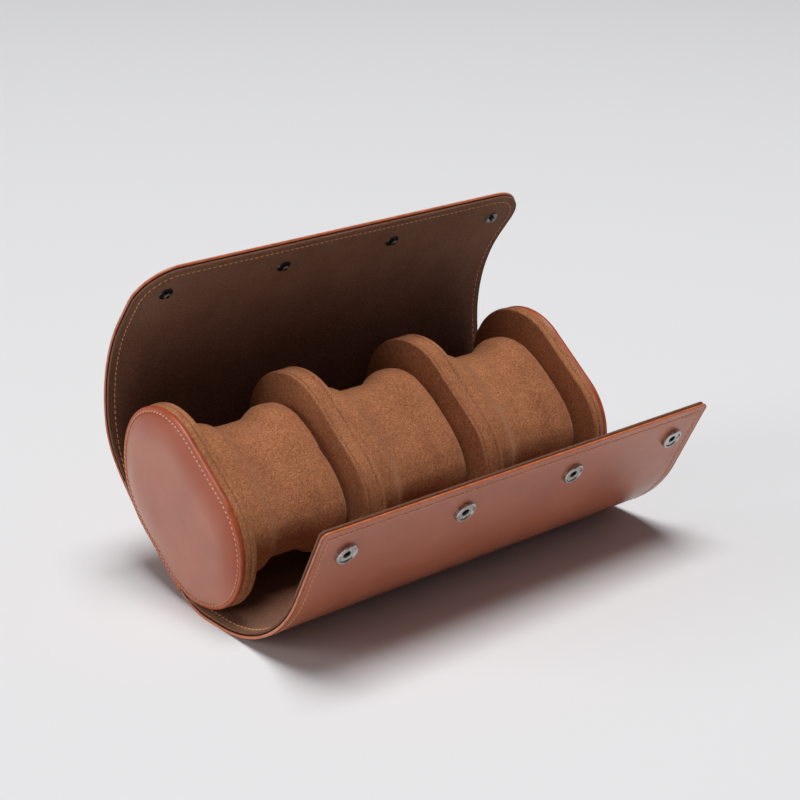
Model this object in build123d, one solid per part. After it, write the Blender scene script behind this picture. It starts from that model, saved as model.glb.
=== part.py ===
from build123d import *
import math
import os

# Watch travel case: a leather wrap round three cushions, standing open on a table.
# Millimetres and degrees. X runs along the case, Y to the back, Z up. The origin is the
# middle of the flat strip that the case stands on.

# ---------------------------------------------------------------- driving dimensions
CASE_LENGTH = 220.0  # the wrap, end to end

# Oval of the end caps and dividers: two straight sides and two half-round ends.
OVAL_LONG = 95.2
OVAL_SHORT = 64.4
OVAL_TILT = 38.0  # long axis over the table, rising to the back
SEAT_GAP = 0.3  # lowest point of the ovals over the lining

# The wrap, from the inside out.
LINING = 1.2
BOARD = 0.6
LEATHER = 1.2
LINING_INSET = 0.5  # free edges of the lining, in from the leather's
BOARD_INSET = 3.0  # free edges of the board, in from the leather's
BOARD_RELIEF = 0.8  # board ends short of each fold
LEAST_CORNER = 1.5  # rounding of an inset layer's corners at the least

# Folds: the lining meets itself, the leather is parted in a shallow V.
FOLD_GAP = 0.3
FOLD_LEAN = 3.5

# Base: flat strip, bend, straight side under the ovals.
BASE_BEND_RADIUS = 3.0

# Front flap, measured on the lining from the lowest point of the ovals.
FLAP_FLAT = 17.7
FLAP_ARC = 65.4
FLAP_ARC_TURN = 63.0
FLAP_PLATE = 40.1
FLAP_ROOT_FOLD = 10.2
FLAP_MIDDLE_FOLD = 29.3
FLAP_FRONT_FOLD = 67.2
FLAP_CLOSE = 26.33  # turn of each fold, open to closed
FLAP_CORNER = 3.0

# Lid, measured on the lining from the end of the straight side.
LID_ARC = 39.0
LID_ARC_TURN = 43.5
LID_CROWN = 60.0
LID_CROWN_TURN = 46.5
LID_PLATE = 33.0
LID_ROOT_FOLD = 19.8
LID_BACK_FOLD = 49.5
LID_TOP_FOLD = 84.5
LID_FRONT_FOLD = 102.5
LID_CLOSE = 22.5  # turn of each fold, open to closed
LID_OPEN_MORE = 6.0  # each fold leans back this much further
LID_CORNER = 20.0

# End caps: a crowned leather end over a suede box with a core of board.
CAP_SETBACK = 0.5  # crown of the leather end, in from the wrap's end
CAP_LEATHER = 1.9
CAP_CROWN = 0.9
CAP_DEPTH = 10.4

# The leather ends lap over the ends of the wrap, which are cut back from the bend upwards.
LAP_DROP = 2.5  # edge of the lap, below the ovals' straight side
LAP_REACH = 38.0  # from the upper end of that side down to the notch where the lap stops
LAP_TOP = 14.0  # the wrap is cut back so far up the lid
LAP_EASE = 4.0  # the lap's edge turns up to the oval from so far before the end of the side
LAP_GAP = 0.1  # leather end to the cut-back wrap
LAP_SLANT = 7.0  # the cut runs out over so much of the flat strip

# Dividers and the suede they are covered with.
DIVIDER_DEPTH = 10.6
SUEDE = 1.2
FACE_EDGE = 0.5  # rounded edge of a suede face panel

# Cushions: a swollen cover, two end panels and a filling.
CUSHION_LONG = 78.0
CUSHION_SHORT = 46.0
CUSHION_SIDE_CROWN = 1.6  # swell of the long sides
CUSHION_WAIST = 1.8  # depth of the band round the middle, where a strap lies
CUSHION_FLANK = 10.5  # middle to the side of that band
CUSHION_FLANK_DEPTH = 1.3
CUSHION_SHOULDER = 17.0  # middle to the fullest part
CUSHION_ROUND = 5.0  # rounding at the ends, inwards
CUSHION_ROUND_LENGTH = 2.5  # along the cushion, from where the rounding turns steep
CUSHION_ROUND_EASE = 1.5  # and inwards, up to there
CUSHION_WALL = 2.4
CUSHION_GAP = 0.3
CUSHION_LIFT = 62.0  # lifts clear of the dividers

# Press fasteners.
SNAP_COUNT = 4
SNAP_FROM_END = 16.4  # first fastener, in from the wrap's end
SNAP_FROM_EDGE = 16.3
STUD_FROM_EDGE = 15.84
SOCKET_RADIUS = 5.15
SOCKET_RISE = 1.8
SOCKET_BORE = 1.9
SOCKET_CAVITY = 3.3
SOCKET_PLATE = 0.4
SOCKET_EDGE = 0.35  # bevel of the ring
DISH_RADIUS = 4.2
DISH_DEPTH = 0.6
BARREL_RADIUS = 2.9
BARREL_BORE = 2.0
BARREL_PROUD = 0.35
ANCHOR_RADIUS = 5.0
FIT = 0.1
DRILL_START = 0.2  # holes are cut from so far over the surface
DRILL_MORE = 0.15  # and so far below the last layer
SPRING_WIRE = 0.22
SPRING_RADIUS = 2.05
SPRING_SWEEP = 300.0
STUD_FLANGE = 3.4
STUD_FLANGE_DEPTH = 0.5
STUD_FLANGE_EDGE = 0.2
STUD_NECK = 1.25
STUD_NECK_RISE = 0.5  # straight part over the flange
STUD_NECK_SLOPE = 0.25  # from there out to the head
STUD_HEAD = 1.5
STUD_ROUND = 0.45
STUD_HEIGHT = 1.9
STUD_ANCHOR = 3.6

LEAST_RUN = 1e-6  # what is left of a straight or round run is dropped below this

# ---------------------------------------------------------------- worked out from them
WRAP = LINING + BOARD + LEATHER
FLAP_FOLDS = (FLAP_ROOT_FOLD, FLAP_MIDDLE_FOLD, FLAP_FRONT_FOLD)
LID_FOLDS = (LID_ROOT_FOLD, LID_BACK_FOLD, LID_TOP_FOLD, LID_FRONT_FOLD)
SNAP_PITCH = (CASE_LENGTH - 2 * SNAP_FROM_END) / (SNAP_COUNT - 1)
OVAL_RADIUS = OVAL_SHORT / 2
OVAL_STRAIGHT = (OVAL_LONG - OVAL_SHORT) / 2  # middle of the oval to the end of a side


def unit(angle):
    """Direction in the section, whose x is the case's Y and whose y is its Z."""
    return Vector(math.cos(math.radians(angle)), math.sin(math.radians(angle)))


ALONG = unit(OVAL_TILT)  # long axis of the oval
ACROSS = unit(OVAL_TILT + 90)  # its short axis, towards the open side

# The straight side's line meets the floor strip's line at a corner, which the bend rounds.
side_drop = SEAT_GAP + OVAL_RADIUS * (1 - ACROSS.Y) + OVAL_STRAIGHT * ALONG.Y
corner_along = -side_drop / ALONG.Y  # from the oval's middle, along its side
corner_past_low = OVAL_STRAIGHT * ALONG.X + OVAL_RADIUS * ALONG.Y + corner_along * ALONG.X
bend_tangent = BASE_BEND_RADIUS * math.tan(math.radians(OVAL_TILT / 2))
strip_length = FLAP_ROOT_FOLD + corner_past_low - bend_tangent
side_length = OVAL_STRAIGHT - corner_along - bend_tangent
low_point = Vector(FLAP_ROOT_FOLD - strip_length / 2, WRAP)
oval_middle = Vector(
    low_point.X + OVAL_STRAIGHT * ALONG.X,
    WRAP + SEAT_GAP + OVAL_RADIUS + OVAL_STRAIGHT * ALONG.Y,
)

# Along the case: cap, cushion, divider, cushion, divider, cushion, cap.
cap_outer = CASE_LENGTH / 2 - CAP_SETBACK
cap_inner = cap_outer - CAP_DEPTH
BAY_COUNT = 3
bay_length = (2 * cap_inner - (BAY_COUNT - 1) * DIVIDER_DEPTH) / BAY_COUNT
bay_pitch = bay_length + DIVIDER_DEPTH
bay_middles = [(k - (BAY_COUNT - 1) / 2) * bay_pitch for k in range(BAY_COUNT)]
divider_middles = [(a + b) / 2 for a, b in zip(bay_middles, bay_middles[1:])]
snap_places = [(k - (SNAP_COUNT - 1) / 2) * SNAP_PITCH for k in range(SNAP_COUNT)]


class Course:
    """The lining's surface in the section, as straight and round runs that curl one way."""

    def __init__(self, start, heading, side, runs):
        """side is 1 where the runs curl to the left of their way, -1 to the right."""
        self.start = start
        self.heading = heading
        self.side = side
        self.runs = runs
        self.length = sum(length for length, _ in runs)

    def at(self, distance):
        """Point on the surface and heading, so far along."""
        point, heading, left = self.start, self.heading, distance
        for length, turn in self.runs:
            part = min(left, length)
            if turn:
                radius = length / math.radians(turn)
                middle = point + unit(heading + 90 * self.side) * radius
                heading += self.side * turn * part / length
                point = middle - unit(heading + 90 * self.side) * radius
            else:
                point = point + unit(heading) * part
            left -= part
            if left <= 0:
                break
        return point, heading

    def out(self, distance, depth):
        """Point that lies depth outside the surface, so far along."""
        point, heading = self.at(distance)
        return point - unit(heading + 90 * self.side) * depth

    def edges(self, start, stop, depth):
        """Edges from start to stop that lie depth outside the surface."""
        made, reached = [], 0.0
        for length, turn in self.runs:
            low, high = max(start, reached), min(stop, reached + length)
            reached += length
            if high - low < LEAST_RUN:
                continue
            ends = self.out(low, depth), self.out(high, depth)
            if turn:
                made.append(ThreePointArc(ends[0], self.out((low + high) / 2, depth), ends[1]))
            else:
                made.append(Line(*ends))
        return made

    def strip(self, start, stop, inner, outer, trims):
        """Face between two depths; trims are the shortenings at each end, inner and outer."""
        (start_in, start_out), (stop_in, stop_out) = trims
        inside = self.edges(start + start_in, stop - stop_in, inner)
        outside = self.edges(start + start_out, stop - stop_out, outer)
        near = Line(self.out(start + start_in, inner), self.out(start + start_out, outer))
        far = Line(self.out(stop - stop_in, inner), self.out(stop - stop_out, outer))
        return Face(Wire([*inside, far, *outside, near]))


base_course = Course(
    Vector(low_point.X - FLAP_ROOT_FOLD, WRAP),
    0.0,
    1,
    [
        (strip_length, 0.0),
        (math.radians(OVAL_TILT) * BASE_BEND_RADIUS, OVAL_TILT),
        (side_length, 0.0),
        (LID_ARC, LID_ARC_TURN),
        (LID_CROWN, LID_CROWN_TURN),
        (LID_PLATE, 0.0),
    ],
)
flap_course = Course(
    low_point, 180.0, -1, [(FLAP_FLAT, 0.0), (FLAP_ARC, FLAP_ARC_TURN), (FLAP_PLATE, 0.0)]
)
lid_start = base_course.length - LID_ARC - LID_CROWN - LID_PLATE
lid_folds = [lid_start + fold for fold in LID_FOLDS]


def layer(course, span, depths, inset, relief, ends_free, corner):
    """One layer of one panel of the wrap, over the case's length.

    depths are its inner and outer depth, inset its distance in from free edges, relief its
    extra distance from folds, ends_free says whether the panel stops at a free edge.
    """
    lean = math.tan(math.radians(FOLD_LEAN))
    fold = [FOLD_GAP / 2 + relief + depth * lean for depth in depths]
    trims = (fold, [inset, inset] if ends_free else fold)
    face = course.strip(*span, *depths, trims)
    width = CASE_LENGTH - 2 * inset
    solid = extrude(Plane.YZ.offset(-width / 2) * face, amount=width, dir=(1, 0, 0))
    if ends_free:
        _, heading = course.at(course.length)
        normal = unit(heading + 90)
        edges = solid.edges().filter_by(Axis((0, 0, 0), (0, normal.X, normal.Y)))
        solid = fillet(edges, max(corner - inset, LEAST_CORNER))
    return solid


def panel(name, course, span, ends_free=False, corner=0.0):
    """Leather, board and lining of one panel of the wrap."""
    inner, middle = LINING, LINING + BOARD
    return {
        f"{name}_lining": layer(course, span, (0, inner), LINING_INSET, 0, ends_free, corner),
        f"{name}_board": layer(
            course, span, (inner, middle), BOARD_INSET, BOARD_RELIEF, ends_free, corner
        ),
        f"{name}_leather": layer(course, span, (middle, WRAP), 0, 0, ends_free, corner),
    }


def wrap_panels():
    """Base, three panels of the front flap and four of the lid."""
    parts = panel("base", base_course, (0, lid_folds[0]))
    flap_stops = [*FLAP_FOLDS[1:], flap_course.length]
    flap_names = ("flap_root", "flap_middle", "flap_front")
    for name, start, stop in zip(flap_names, FLAP_FOLDS, flap_stops):
        free = stop == flap_course.length
        parts |= panel(name, flap_course, (start, stop), free, FLAP_CORNER)
    lid_stops = [*lid_folds[1:], base_course.length]
    lid_names = ("lid_root", "lid_back", "lid_top", "lid_front")
    for name, start, stop in zip(lid_names, lid_folds, lid_stops):
        free = stop == base_course.length
        parts |= panel(name, base_course, (start, stop), free, LID_CORNER)
    return parts


def oval_plane(place):
    """Plane of an oval, its x along the oval's long axis."""
    origin = (place, oval_middle.X, oval_middle.Y)
    return Plane(origin=origin, x_dir=(0, ALONG.X, ALONG.Y), z_dir=(1, 0, 0))


def oval_slab(start, depth, inset=0.0):
    """Solid of the oval's outline, towards +X from start."""
    outline = SlotOverall(OVAL_LONG - 2 * inset, OVAL_SHORT - 2 * inset)
    return extrude(oval_plane(start) * outline, amount=depth)


def suede_face(start, towards):
    """Face panel whose outer edge is rounded on the side that towards names."""
    slab = oval_slab(start, SUEDE)
    faces = slab.faces().sort_by(Axis.X)
    face = faces[-1] if towards > 0 else faces[0]
    return fillet(face.edges(), FACE_EDGE)


def lap_outline():
    """Outline of the lap under the straight side, blending into the oval at its upper end."""
    edge = OVAL_RADIUS + LAP_DROP
    turn = OVAL_STRAIGHT - LAP_EASE
    more = (LAP_EASE**2 + LAP_DROP**2) / (2 * LAP_DROP)  # radius over the oval's
    radius = OVAL_RADIUS + more
    middle = Vector(turn, radius - edge)
    stop = math.degrees(math.atan2(-middle.Y, LAP_EASE))
    ends = [middle + unit(angle) * radius for angle in (-90, (stop - 90) / 2, stop)]
    inner, outer = Vector(OVAL_STRAIGHT - LAP_REACH, 0), Vector(OVAL_STRAIGHT - LAP_REACH, -edge)
    sides = Polyline(ends[2], inner, outer, ends[0])
    return Face(Wire([*sides.edges(), ThreePointArc(*ends)]))


def lapped(parts):
    """Cuts the ends of the base's leather and lining back from the caps' leather."""
    stop = lid_start + LAP_TOP
    face = base_course.strip(strip_length, stop, -LAP_DROP, WRAP + LAP_DROP, ((0, 0), (0, 0)))
    place = cap_outer - CAP_LEATHER - LAP_GAP
    cut = extrude(Plane.YZ.offset(place) * face, amount=CASE_LENGTH, dir=(1, 0, 0))
    corner = Vector(place, strip_length / 2)
    slant = Vector(CASE_LENGTH / 2 - place, -LAP_SLANT) * 2
    triangle = make_face(Polyline(corner, corner + slant, corner + Vector(slant.X, 0), close=True))
    cut += extrude(Plane.XY.offset(-LAP_DROP) * triangle, amount=WRAP + 2 * LAP_DROP)
    for name in ("base_leather", "base_lining"):
        parts[name] = parts[name] - cut - mirror(cut, about=Plane.YZ)


def end_cap():
    """The left end cap: crowned leather end, suede band, core and inner face."""
    back = -cap_outer + CAP_LEATHER
    depth = -cap_inner - SUEDE - back
    radius = (OVAL_LONG / 2) ** 2 / (2 * CAP_CROWN)
    crown = Pos(radius - cap_outer, oval_middle.X, oval_middle.Y) * Sphere(radius)
    outline = SlotOverall(OVAL_LONG, OVAL_SHORT) + lap_outline()
    plate = extrude(oval_plane(-cap_outer) * outline, amount=CAP_LEATHER)
    return {
        "leather": plate & crown,
        "band": oval_slab(back, depth) - oval_slab(back, depth, SUEDE),
        "core": oval_slab(back, depth, SUEDE),
        "inner_face": suede_face(-cap_inner - SUEDE, 1),
    }


def divider(middle):
    """A divider: two suede faces, the band round its rim and the core."""
    left = middle - DIVIDER_DEPTH / 2
    depth = DIVIDER_DEPTH - 2 * SUEDE
    start = left + SUEDE
    return {
        "left_face": suede_face(left, -1),
        "band": oval_slab(start, depth) - oval_slab(start, depth, SUEDE),
        "core": oval_slab(start, depth, SUEDE),
        "right_face": suede_face(start + depth, 1),
    }


def cushion_section(place, inset):
    """Outline of a cushion: crowned long sides and ends of two arcs each."""
    radius = CUSHION_SHORT / 2 - inset
    straight = (CUSHION_LONG - CUSHION_SHORT) / 2
    crown = radius + CUSHION_SIDE_CROWN * radius / (CUSHION_SHORT / 2)
    round_x = straight + radius * math.cos(math.pi / 4)
    round_y = radius * math.sin(math.pi / 4)
    edges = []
    for side in (1, -1):
        top, bottom = (side * straight, side * radius), (side * straight, -side * radius)
        tip = (side * (straight + radius), 0)
        other = (-side * straight, side * radius)
        edges.append(ThreePointArc(other, (0, side * crown), top))
        edges.append(ThreePointArc(top, (side * round_x, side * round_y), tip))
        edges.append(ThreePointArc(tip, (side * round_x, -side * round_y), bottom))
    return oval_plane(place) * Face(Wire(edges))


def cushion(middle):
    """A cushion: cover with swollen shoulders, end panels and filling."""
    half = bay_length / 2 - CUSHION_GAP
    cover_half = half - SUEDE
    steps = [
        (0.0, CUSHION_WAIST),
        (CUSHION_FLANK, CUSHION_FLANK_DEPTH),
        (CUSHION_SHOULDER, 0.0),
        (cover_half - CUSHION_ROUND_LENGTH, CUSHION_ROUND_EASE),
        (cover_half, CUSHION_ROUND),
    ]
    stations = [(-place, inset) for place, inset in steps[:0:-1]] + steps
    full = loft([cushion_section(middle + place, inset) for place, inset in stations])
    hollow = CUSHION_ROUND + CUSHION_WALL
    block = oval_plane(middle - cover_half) * SlotOverall(
        CUSHION_LONG - 2 * hollow, CUSHION_SHORT - 2 * hollow
    )
    filling = extrude(block, amount=2 * cover_half)
    ends = [
        extrude(cushion_section(place, CUSHION_ROUND), amount=SUEDE, dir=(1, 0, 0))
        for place in (middle - half, middle + half - SUEDE)
    ]
    return {"cover": full - filling, "filling": filling, "end_panels": ends}


def turned(points):
    """Solid turned round the local Z axis from (radius, height) points."""
    return revolve(Plane.XZ * make_face(Polyline(*points, close=True)), Axis.Z)


def snap_planes(course, from_edge, depth, outwards):
    """Local planes of a row of fasteners, their z away from the wrap."""
    distance = course.length - from_edge
    point, heading = course.out(distance, depth), course.at(distance)[1]
    normal = unit(heading + 90 * course.side) * (-1 if outwards else 1)
    return [
        Plane(origin=(x, point.X, point.Y), x_dir=(1, 0, 0), z_dir=(0, normal.X, normal.Y))
        for x in snap_places
    ]


def socket():
    """Raised ring with a dished top, a bore for the stud and a cavity for the spring."""
    floor = SOCKET_RISE - DISH_DEPTH
    return turned(
        [
            (SOCKET_CAVITY, 0),
            (SOCKET_RADIUS, 0),
            (SOCKET_RADIUS, SOCKET_RISE - SOCKET_EDGE),
            (SOCKET_RADIUS - SOCKET_EDGE, SOCKET_RISE),
            (DISH_RADIUS, SOCKET_RISE),
            (DISH_RADIUS - SOCKET_EDGE, floor),
            (SOCKET_BORE, floor),
            (SOCKET_BORE, floor - SOCKET_PLATE),
            (SOCKET_CAVITY, floor - SOCKET_PLATE),
        ]
    )


def socket_anchor():
    """Disc behind the leather with a tube that comes up into the socket."""
    top, under = -LEATHER - FIT / 2, -LEATHER - BOARD + FIT / 2
    return turned(
        [
            (BARREL_BORE, under),
            (ANCHOR_RADIUS, under),
            (ANCHOR_RADIUS, top),
            (BARREL_RADIUS, top),
            (BARREL_RADIUS, BARREL_PROUD),
            (BARREL_BORE, BARREL_PROUD),
        ]
    )


def socket_spring():
    """Open ring of wire in the socket's cavity."""
    height = (BARREL_PROUD + SOCKET_RISE - DISH_DEPTH - SOCKET_PLATE) / 2
    wire = Plane.XZ * Pos(SPRING_RADIUS, height) * Circle(SPRING_WIRE)
    return revolve(wire, Axis.Z, revolution_arc=SPRING_SWEEP)


def stud():
    """Flange on the lining, neck and rounded head."""
    straight = STUD_FLANGE_DEPTH + STUD_NECK_RISE
    return turned(
        [
            (0, 0),
            (STUD_FLANGE, 0),
            (STUD_FLANGE - STUD_FLANGE_EDGE, STUD_FLANGE_DEPTH),
            (STUD_NECK, STUD_FLANGE_DEPTH),
            (STUD_NECK, straight),
            (STUD_HEAD, straight + STUD_NECK_SLOPE),
            (STUD_HEAD, STUD_HEIGHT - STUD_ROUND),
            (STUD_HEAD - STUD_ROUND, STUD_HEIGHT),
            (0, STUD_HEIGHT),
        ]
    )


def stud_anchor():
    """Disc behind the lining with a rivet that comes through to the flange."""
    top, under = -LINING - FIT / 2, -LINING - BOARD + FIT / 2
    return turned(
        [
            (0, under),
            (STUD_ANCHOR, under),
            (STUD_ANCHOR, top),
            (STUD_NECK, top),
            (STUD_NECK, 0),
            (0, 0),
        ]
    )


def drilled(solid, planes, radius, depth):
    """The solid with a round hole at each plane, down to just below depth."""
    length = DRILL_START + depth + DRILL_MORE
    for plane in planes:
        solid -= plane * Pos(0, 0, DRILL_START) * Cylinder(
            radius, length, align=(Align.CENTER, Align.CENTER, Align.MAX)
        )
    return solid


def fasteners(parts):
    """Sockets on the flap and studs in the lid, with the holes that they sit in."""
    sockets = snap_planes(flap_course, SNAP_FROM_EDGE, WRAP, True)
    studs = snap_planes(base_course, STUD_FROM_EDGE, 0, False)
    holes = (
        ("flap_front_leather", sockets, BARREL_RADIUS + FIT, LEATHER),
        ("flap_front_board", sockets, ANCHOR_RADIUS + FIT, LEATHER + BOARD),
        ("lid_front_lining", studs, STUD_NECK + FIT, LINING),
        ("lid_front_board", studs, STUD_ANCHOR + FIT, LINING + BOARD),
    )
    for name, planes, radius, depth in holes:
        parts[name] = drilled(parts[name], planes, radius, depth)
    groups = {
        "snap_sockets": (sockets, socket()),
        "snap_socket_anchors": (sockets, socket_anchor()),
        "snap_springs": (sockets, socket_spring()),
        "snap_studs": (studs, stud()),
        "snap_stud_anchors": (studs, stud_anchor()),
    }
    for name, (planes, piece) in groups.items():
        parts[name] = [plane * piece for plane in planes]


def assembly():
    """Every piece by its name; a list holds the separate solids of one group."""
    parts = wrap_panels()
    lapped(parts)
    fasteners(parts)
    for name, piece in end_cap().items():
        parts[f"left_cap_{name}"] = piece
        parts[f"right_cap_{name}"] = mirror(piece, about=Plane.YZ)
    for number, middle in enumerate(divider_middles, 1):
        for name, piece in divider(middle).items():
            parts[f"divider_{number}_{name}"] = piece
    for number, middle in enumerate(bay_middles, 1):
        for name, piece in cushion(middle).items():
            parts[f"cushion_{number}_{name}"] = piece
    return parts


os.makedirs("parts", exist_ok=True)
for node, made in assembly().items():
    solids = made if isinstance(made, list) else [made]
    export_step(Compound(children=[s for m in solids for s in m.solids()]), f"parts/{node}.step")

for label, course, folds, turns in (
    ("flap", flap_course, FLAP_FOLDS, (-FLAP_CLOSE, 0.0)),
    ("lid", base_course, lid_folds, (-LID_CLOSE, LID_OPEN_MORE)),
):
    for fold in folds:
        axis_point, _ = course.at(fold)
        print(f"{label} fold at Y {axis_point.X:.3f} Z {axis_point.Y:.3f}, turns {turns}")
print(f"rest strip {strip_length:.2f} wide, oval middle {oval_middle.X:.2f}, {oval_middle.Y:.2f}")
print(f"cushions lift {CUSHION_LIFT} along {ACROSS.X:.5f}, {ACROSS.Y:.5f}")
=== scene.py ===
"""Looks of a watch travel case: a leather wrap round three suede cushions, standing open.

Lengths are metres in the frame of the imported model: X along the case, Y to the back, Z up, and
the origin in the middle of the flat strip that the case stands on.
"""

import logging
import math
from dataclasses import dataclass
from enum import Enum
from typing import Sequence

import bpy
import numpy as np
from mathutils import Matrix, Vector, noise


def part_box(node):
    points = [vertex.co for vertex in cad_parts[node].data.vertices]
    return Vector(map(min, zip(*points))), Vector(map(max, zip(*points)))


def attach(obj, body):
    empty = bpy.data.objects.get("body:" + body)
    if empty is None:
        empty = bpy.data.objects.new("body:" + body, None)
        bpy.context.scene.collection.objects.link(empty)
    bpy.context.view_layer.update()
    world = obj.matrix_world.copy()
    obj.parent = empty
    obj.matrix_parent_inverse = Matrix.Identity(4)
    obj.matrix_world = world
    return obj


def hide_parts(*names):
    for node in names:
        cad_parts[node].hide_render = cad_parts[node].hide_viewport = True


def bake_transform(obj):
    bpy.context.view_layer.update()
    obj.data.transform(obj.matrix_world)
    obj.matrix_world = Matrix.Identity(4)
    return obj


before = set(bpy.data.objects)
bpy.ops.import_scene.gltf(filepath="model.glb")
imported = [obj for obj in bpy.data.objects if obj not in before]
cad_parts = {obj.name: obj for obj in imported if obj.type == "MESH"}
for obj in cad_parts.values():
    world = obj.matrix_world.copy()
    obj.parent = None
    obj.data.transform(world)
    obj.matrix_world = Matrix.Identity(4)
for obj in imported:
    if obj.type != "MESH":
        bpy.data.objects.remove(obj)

log = logging.getLogger("watch_case")
MM = 0.001
NOISE_SEED = 7  # else the nap and the stitches differ from run to run
TINY = 1e-6
Colour = tuple[float, float, float]
Station = tuple[float, float]  # place along the case, and inset of the ring there
Row = tuple[float, float, float]  # place along a wing, half its width, angle of the rim's normal
RimPoint = tuple[float, float, Vector]  # place in the flat sheet, and a direction there


class Slot(Enum):
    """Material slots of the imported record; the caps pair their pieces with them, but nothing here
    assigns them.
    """

    LEATHER = "outer_leather"
    SUEDE = "suede"
    SOCKETS = "snap_sockets"


class Side(Enum):
    """Which face of the wrap a thing is on."""

    INSIDE = -1
    OUTSIDE = 1


# ---------------------------------------------------------------- shader helpers
class Graph:
    """A material's node tree, with short calls for the nodes that the finishes share."""

    def __init__(self, name: str) -> None:
        """Start a material.

        Args:
            name: The material's name.
        """
        self.material = bpy.data.materials.new(name)
        self.material.use_nodes = True
        self.nodes = self.material.node_tree.nodes
        self.links = self.material.node_tree.links
        self.shader = self.nodes["Principled BSDF"]

    def node(self, kind: str, **settings: float) -> bpy.types.Node:
        """Add a node.

        Args:
            kind: The node's type name.
            settings: Values of its sockets, by name.

        Returns:
            The new node.
        """
        made = self.nodes.new(kind)
        for key, value in settings.items():
            made.inputs[key].default_value = value
        return made

    def place(self, use_uv: bool) -> bpy.types.NodeSocket:
        """Return coordinates in millimetres that stay with the surface.

        Args:
            use_uv: Take the sheet's own UV map, else the object's coordinates.

        Returns:
            The socket that carries them.
        """
        source = self.node("ShaderNodeTexCoord")
        mapping = self.node("ShaderNodeMapping")
        mapping.inputs["Scale"].default_value = (1 / MM,) * 3
        self.links.new(source.outputs["UV" if use_uv else "Object"], mapping.inputs["Vector"])
        return mapping.outputs["Vector"]

    def noise(
        self,
        place: bpy.types.NodeSocket,
        size: float,
        detail: float = 4.0,
        rough: float = 0.55,
        stretch: Sequence[float] = (1, 1, 1),
    ) -> bpy.types.NodeSocket:
        """Add a noise whose features are about size millimetres across.

        Args:
            place: Coordinates in millimetres.
            size: Feature size in millimetres.
            detail: Octaves.
            rough: Weight of the finer octaves.
            stretch: Scale of the coordinates before the noise.

        Returns:
            The noise's factor.
        """
        mapping = self.node("ShaderNodeMapping")
        mapping.inputs["Scale"].default_value = tuple(s / size for s in stretch)
        made = self.node("ShaderNodeTexNoise", Scale=1.0, Detail=detail, Roughness=rough)
        self.links.new(place, mapping.inputs["Vector"])
        self.links.new(mapping.outputs["Vector"], made.inputs["Vector"])
        return made.outputs["Fac"]

    def cells(self, place: bpy.types.NodeSocket, size: float) -> bpy.types.NodeSocket:
        """Add a pebble pattern, as the distance to the nearest cell's middle.

        Args:
            place: Coordinates in millimetres.
            size: Cell size in millimetres.

        Returns:
            The distance.
        """
        made = self.node("ShaderNodeTexVoronoi", Scale=1 / size)
        made.feature = "SMOOTH_F1"
        self.links.new(place, made.inputs["Vector"])
        return made.outputs["Distance"]

    def ramp(
        self, factor: bpy.types.NodeSocket, stops: Sequence[tuple[float, Colour]]
    ) -> bpy.types.NodeSocket:
        """Turn a factor into a colour.

        Args:
            factor: What to look up.
            stops: Places and colours.

        Returns:
            The colour.
        """
        made = self.node("ShaderNodeValToRGB")
        bar = made.color_ramp
        while len(bar.elements) < len(stops):
            bar.elements.new(0.5)
        for element, (place, colour) in zip(bar.elements, stops):
            element.position = place
            element.color = (*colour, 1)
        self.links.new(factor, made.inputs["Fac"])
        return made.outputs["Color"]

    def span(
        self,
        factor: bpy.types.NodeSocket,
        low: float,
        high: float,
        start: float = 0.3,
        stop: float = 0.7,
    ) -> bpy.types.NodeSocket:
        """Map a factor to a range.

        Args:
            factor: What to map.
            low: Value at start.
            high: Value at stop.
            start: Lower end of the factor.
            stop: Upper end of the factor.

        Returns:
            The mapped value.
        """
        made = self.node("ShaderNodeMapRange")
        ends = {"From Min": start, "From Max": stop, "To Min": low, "To Max": high}
        for name, value in ends.items():
            made.inputs[name].default_value = value
        self.links.new(factor, made.inputs["Value"])
        return made.outputs["Result"]

    def mix(
        self,
        first: bpy.types.NodeSocket | Colour,
        second: bpy.types.NodeSocket | Colour,
        factor: bpy.types.NodeSocket | float,
        how: str = "MIX",
    ) -> bpy.types.NodeSocket:
        """Blend two colours.

        Args:
            first: Colour or socket.
            second: Colour or socket.
            factor: Share of the second.
            how: Blend type.

        Returns:
            The blended colour.
        """
        made = self.node("ShaderNodeMix")
        made.data_type = "RGBA"
        made.blend_type = how
        for socket, value in ((made.inputs[6], first), (made.inputs[7], second)):
            if isinstance(value, tuple):
                socket.default_value = (*value, 1)
            else:
                self.links.new(value, socket)
        if isinstance(factor, float):
            made.inputs[0].default_value = factor
        else:
            self.links.new(factor, made.inputs[0])
        return made.outputs[2]

    def on_oval(self) -> tuple[bpy.types.NodeSocket, bpy.types.NodeSocket]:
        """Return the place on an oval, which its UV map carries.

        Returns:
            Distance from its outline, and height over its long axis, in millimetres.
        """
        parts = self.node("ShaderNodeSeparateXYZ")
        self.links.new(self.place(True), parts.inputs["Vector"])
        return parts.outputs["X"], parts.outputs["Y"]

    def bump(
        self,
        height: bpy.types.NodeSocket,
        depth_mm: float,
        strength: float,
        under: bpy.types.NodeSocket | None = None,
    ) -> bpy.types.NodeSocket:
        """Add a bump.

        Args:
            height: Height pattern.
            depth_mm: Its depth in millimetres.
            strength: How strong it is, 0 to 1.
            under: A normal to build on.

        Returns:
            The normal.
        """
        made = self.node("ShaderNodeBump", Strength=strength, Distance=depth_mm * MM)
        self.links.new(height, made.inputs["Height"])
        if under is not None:
            self.links.new(under, made.inputs["Normal"])
        return made.outputs["Normal"]

    def set(self, **values: object) -> None:
        """Set sockets of the shader to a value or link them.

        Args:
            values: Socket names with spaces as underscores.
        """
        for key, value in values.items():
            socket = self.shader.inputs[key.replace("_", " ")]
            if isinstance(value, bpy.types.NodeSocket):
                self.links.new(value, socket)
            elif isinstance(value, tuple):
                socket.default_value = (*value, 1)
            else:
                socket.default_value = value


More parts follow.
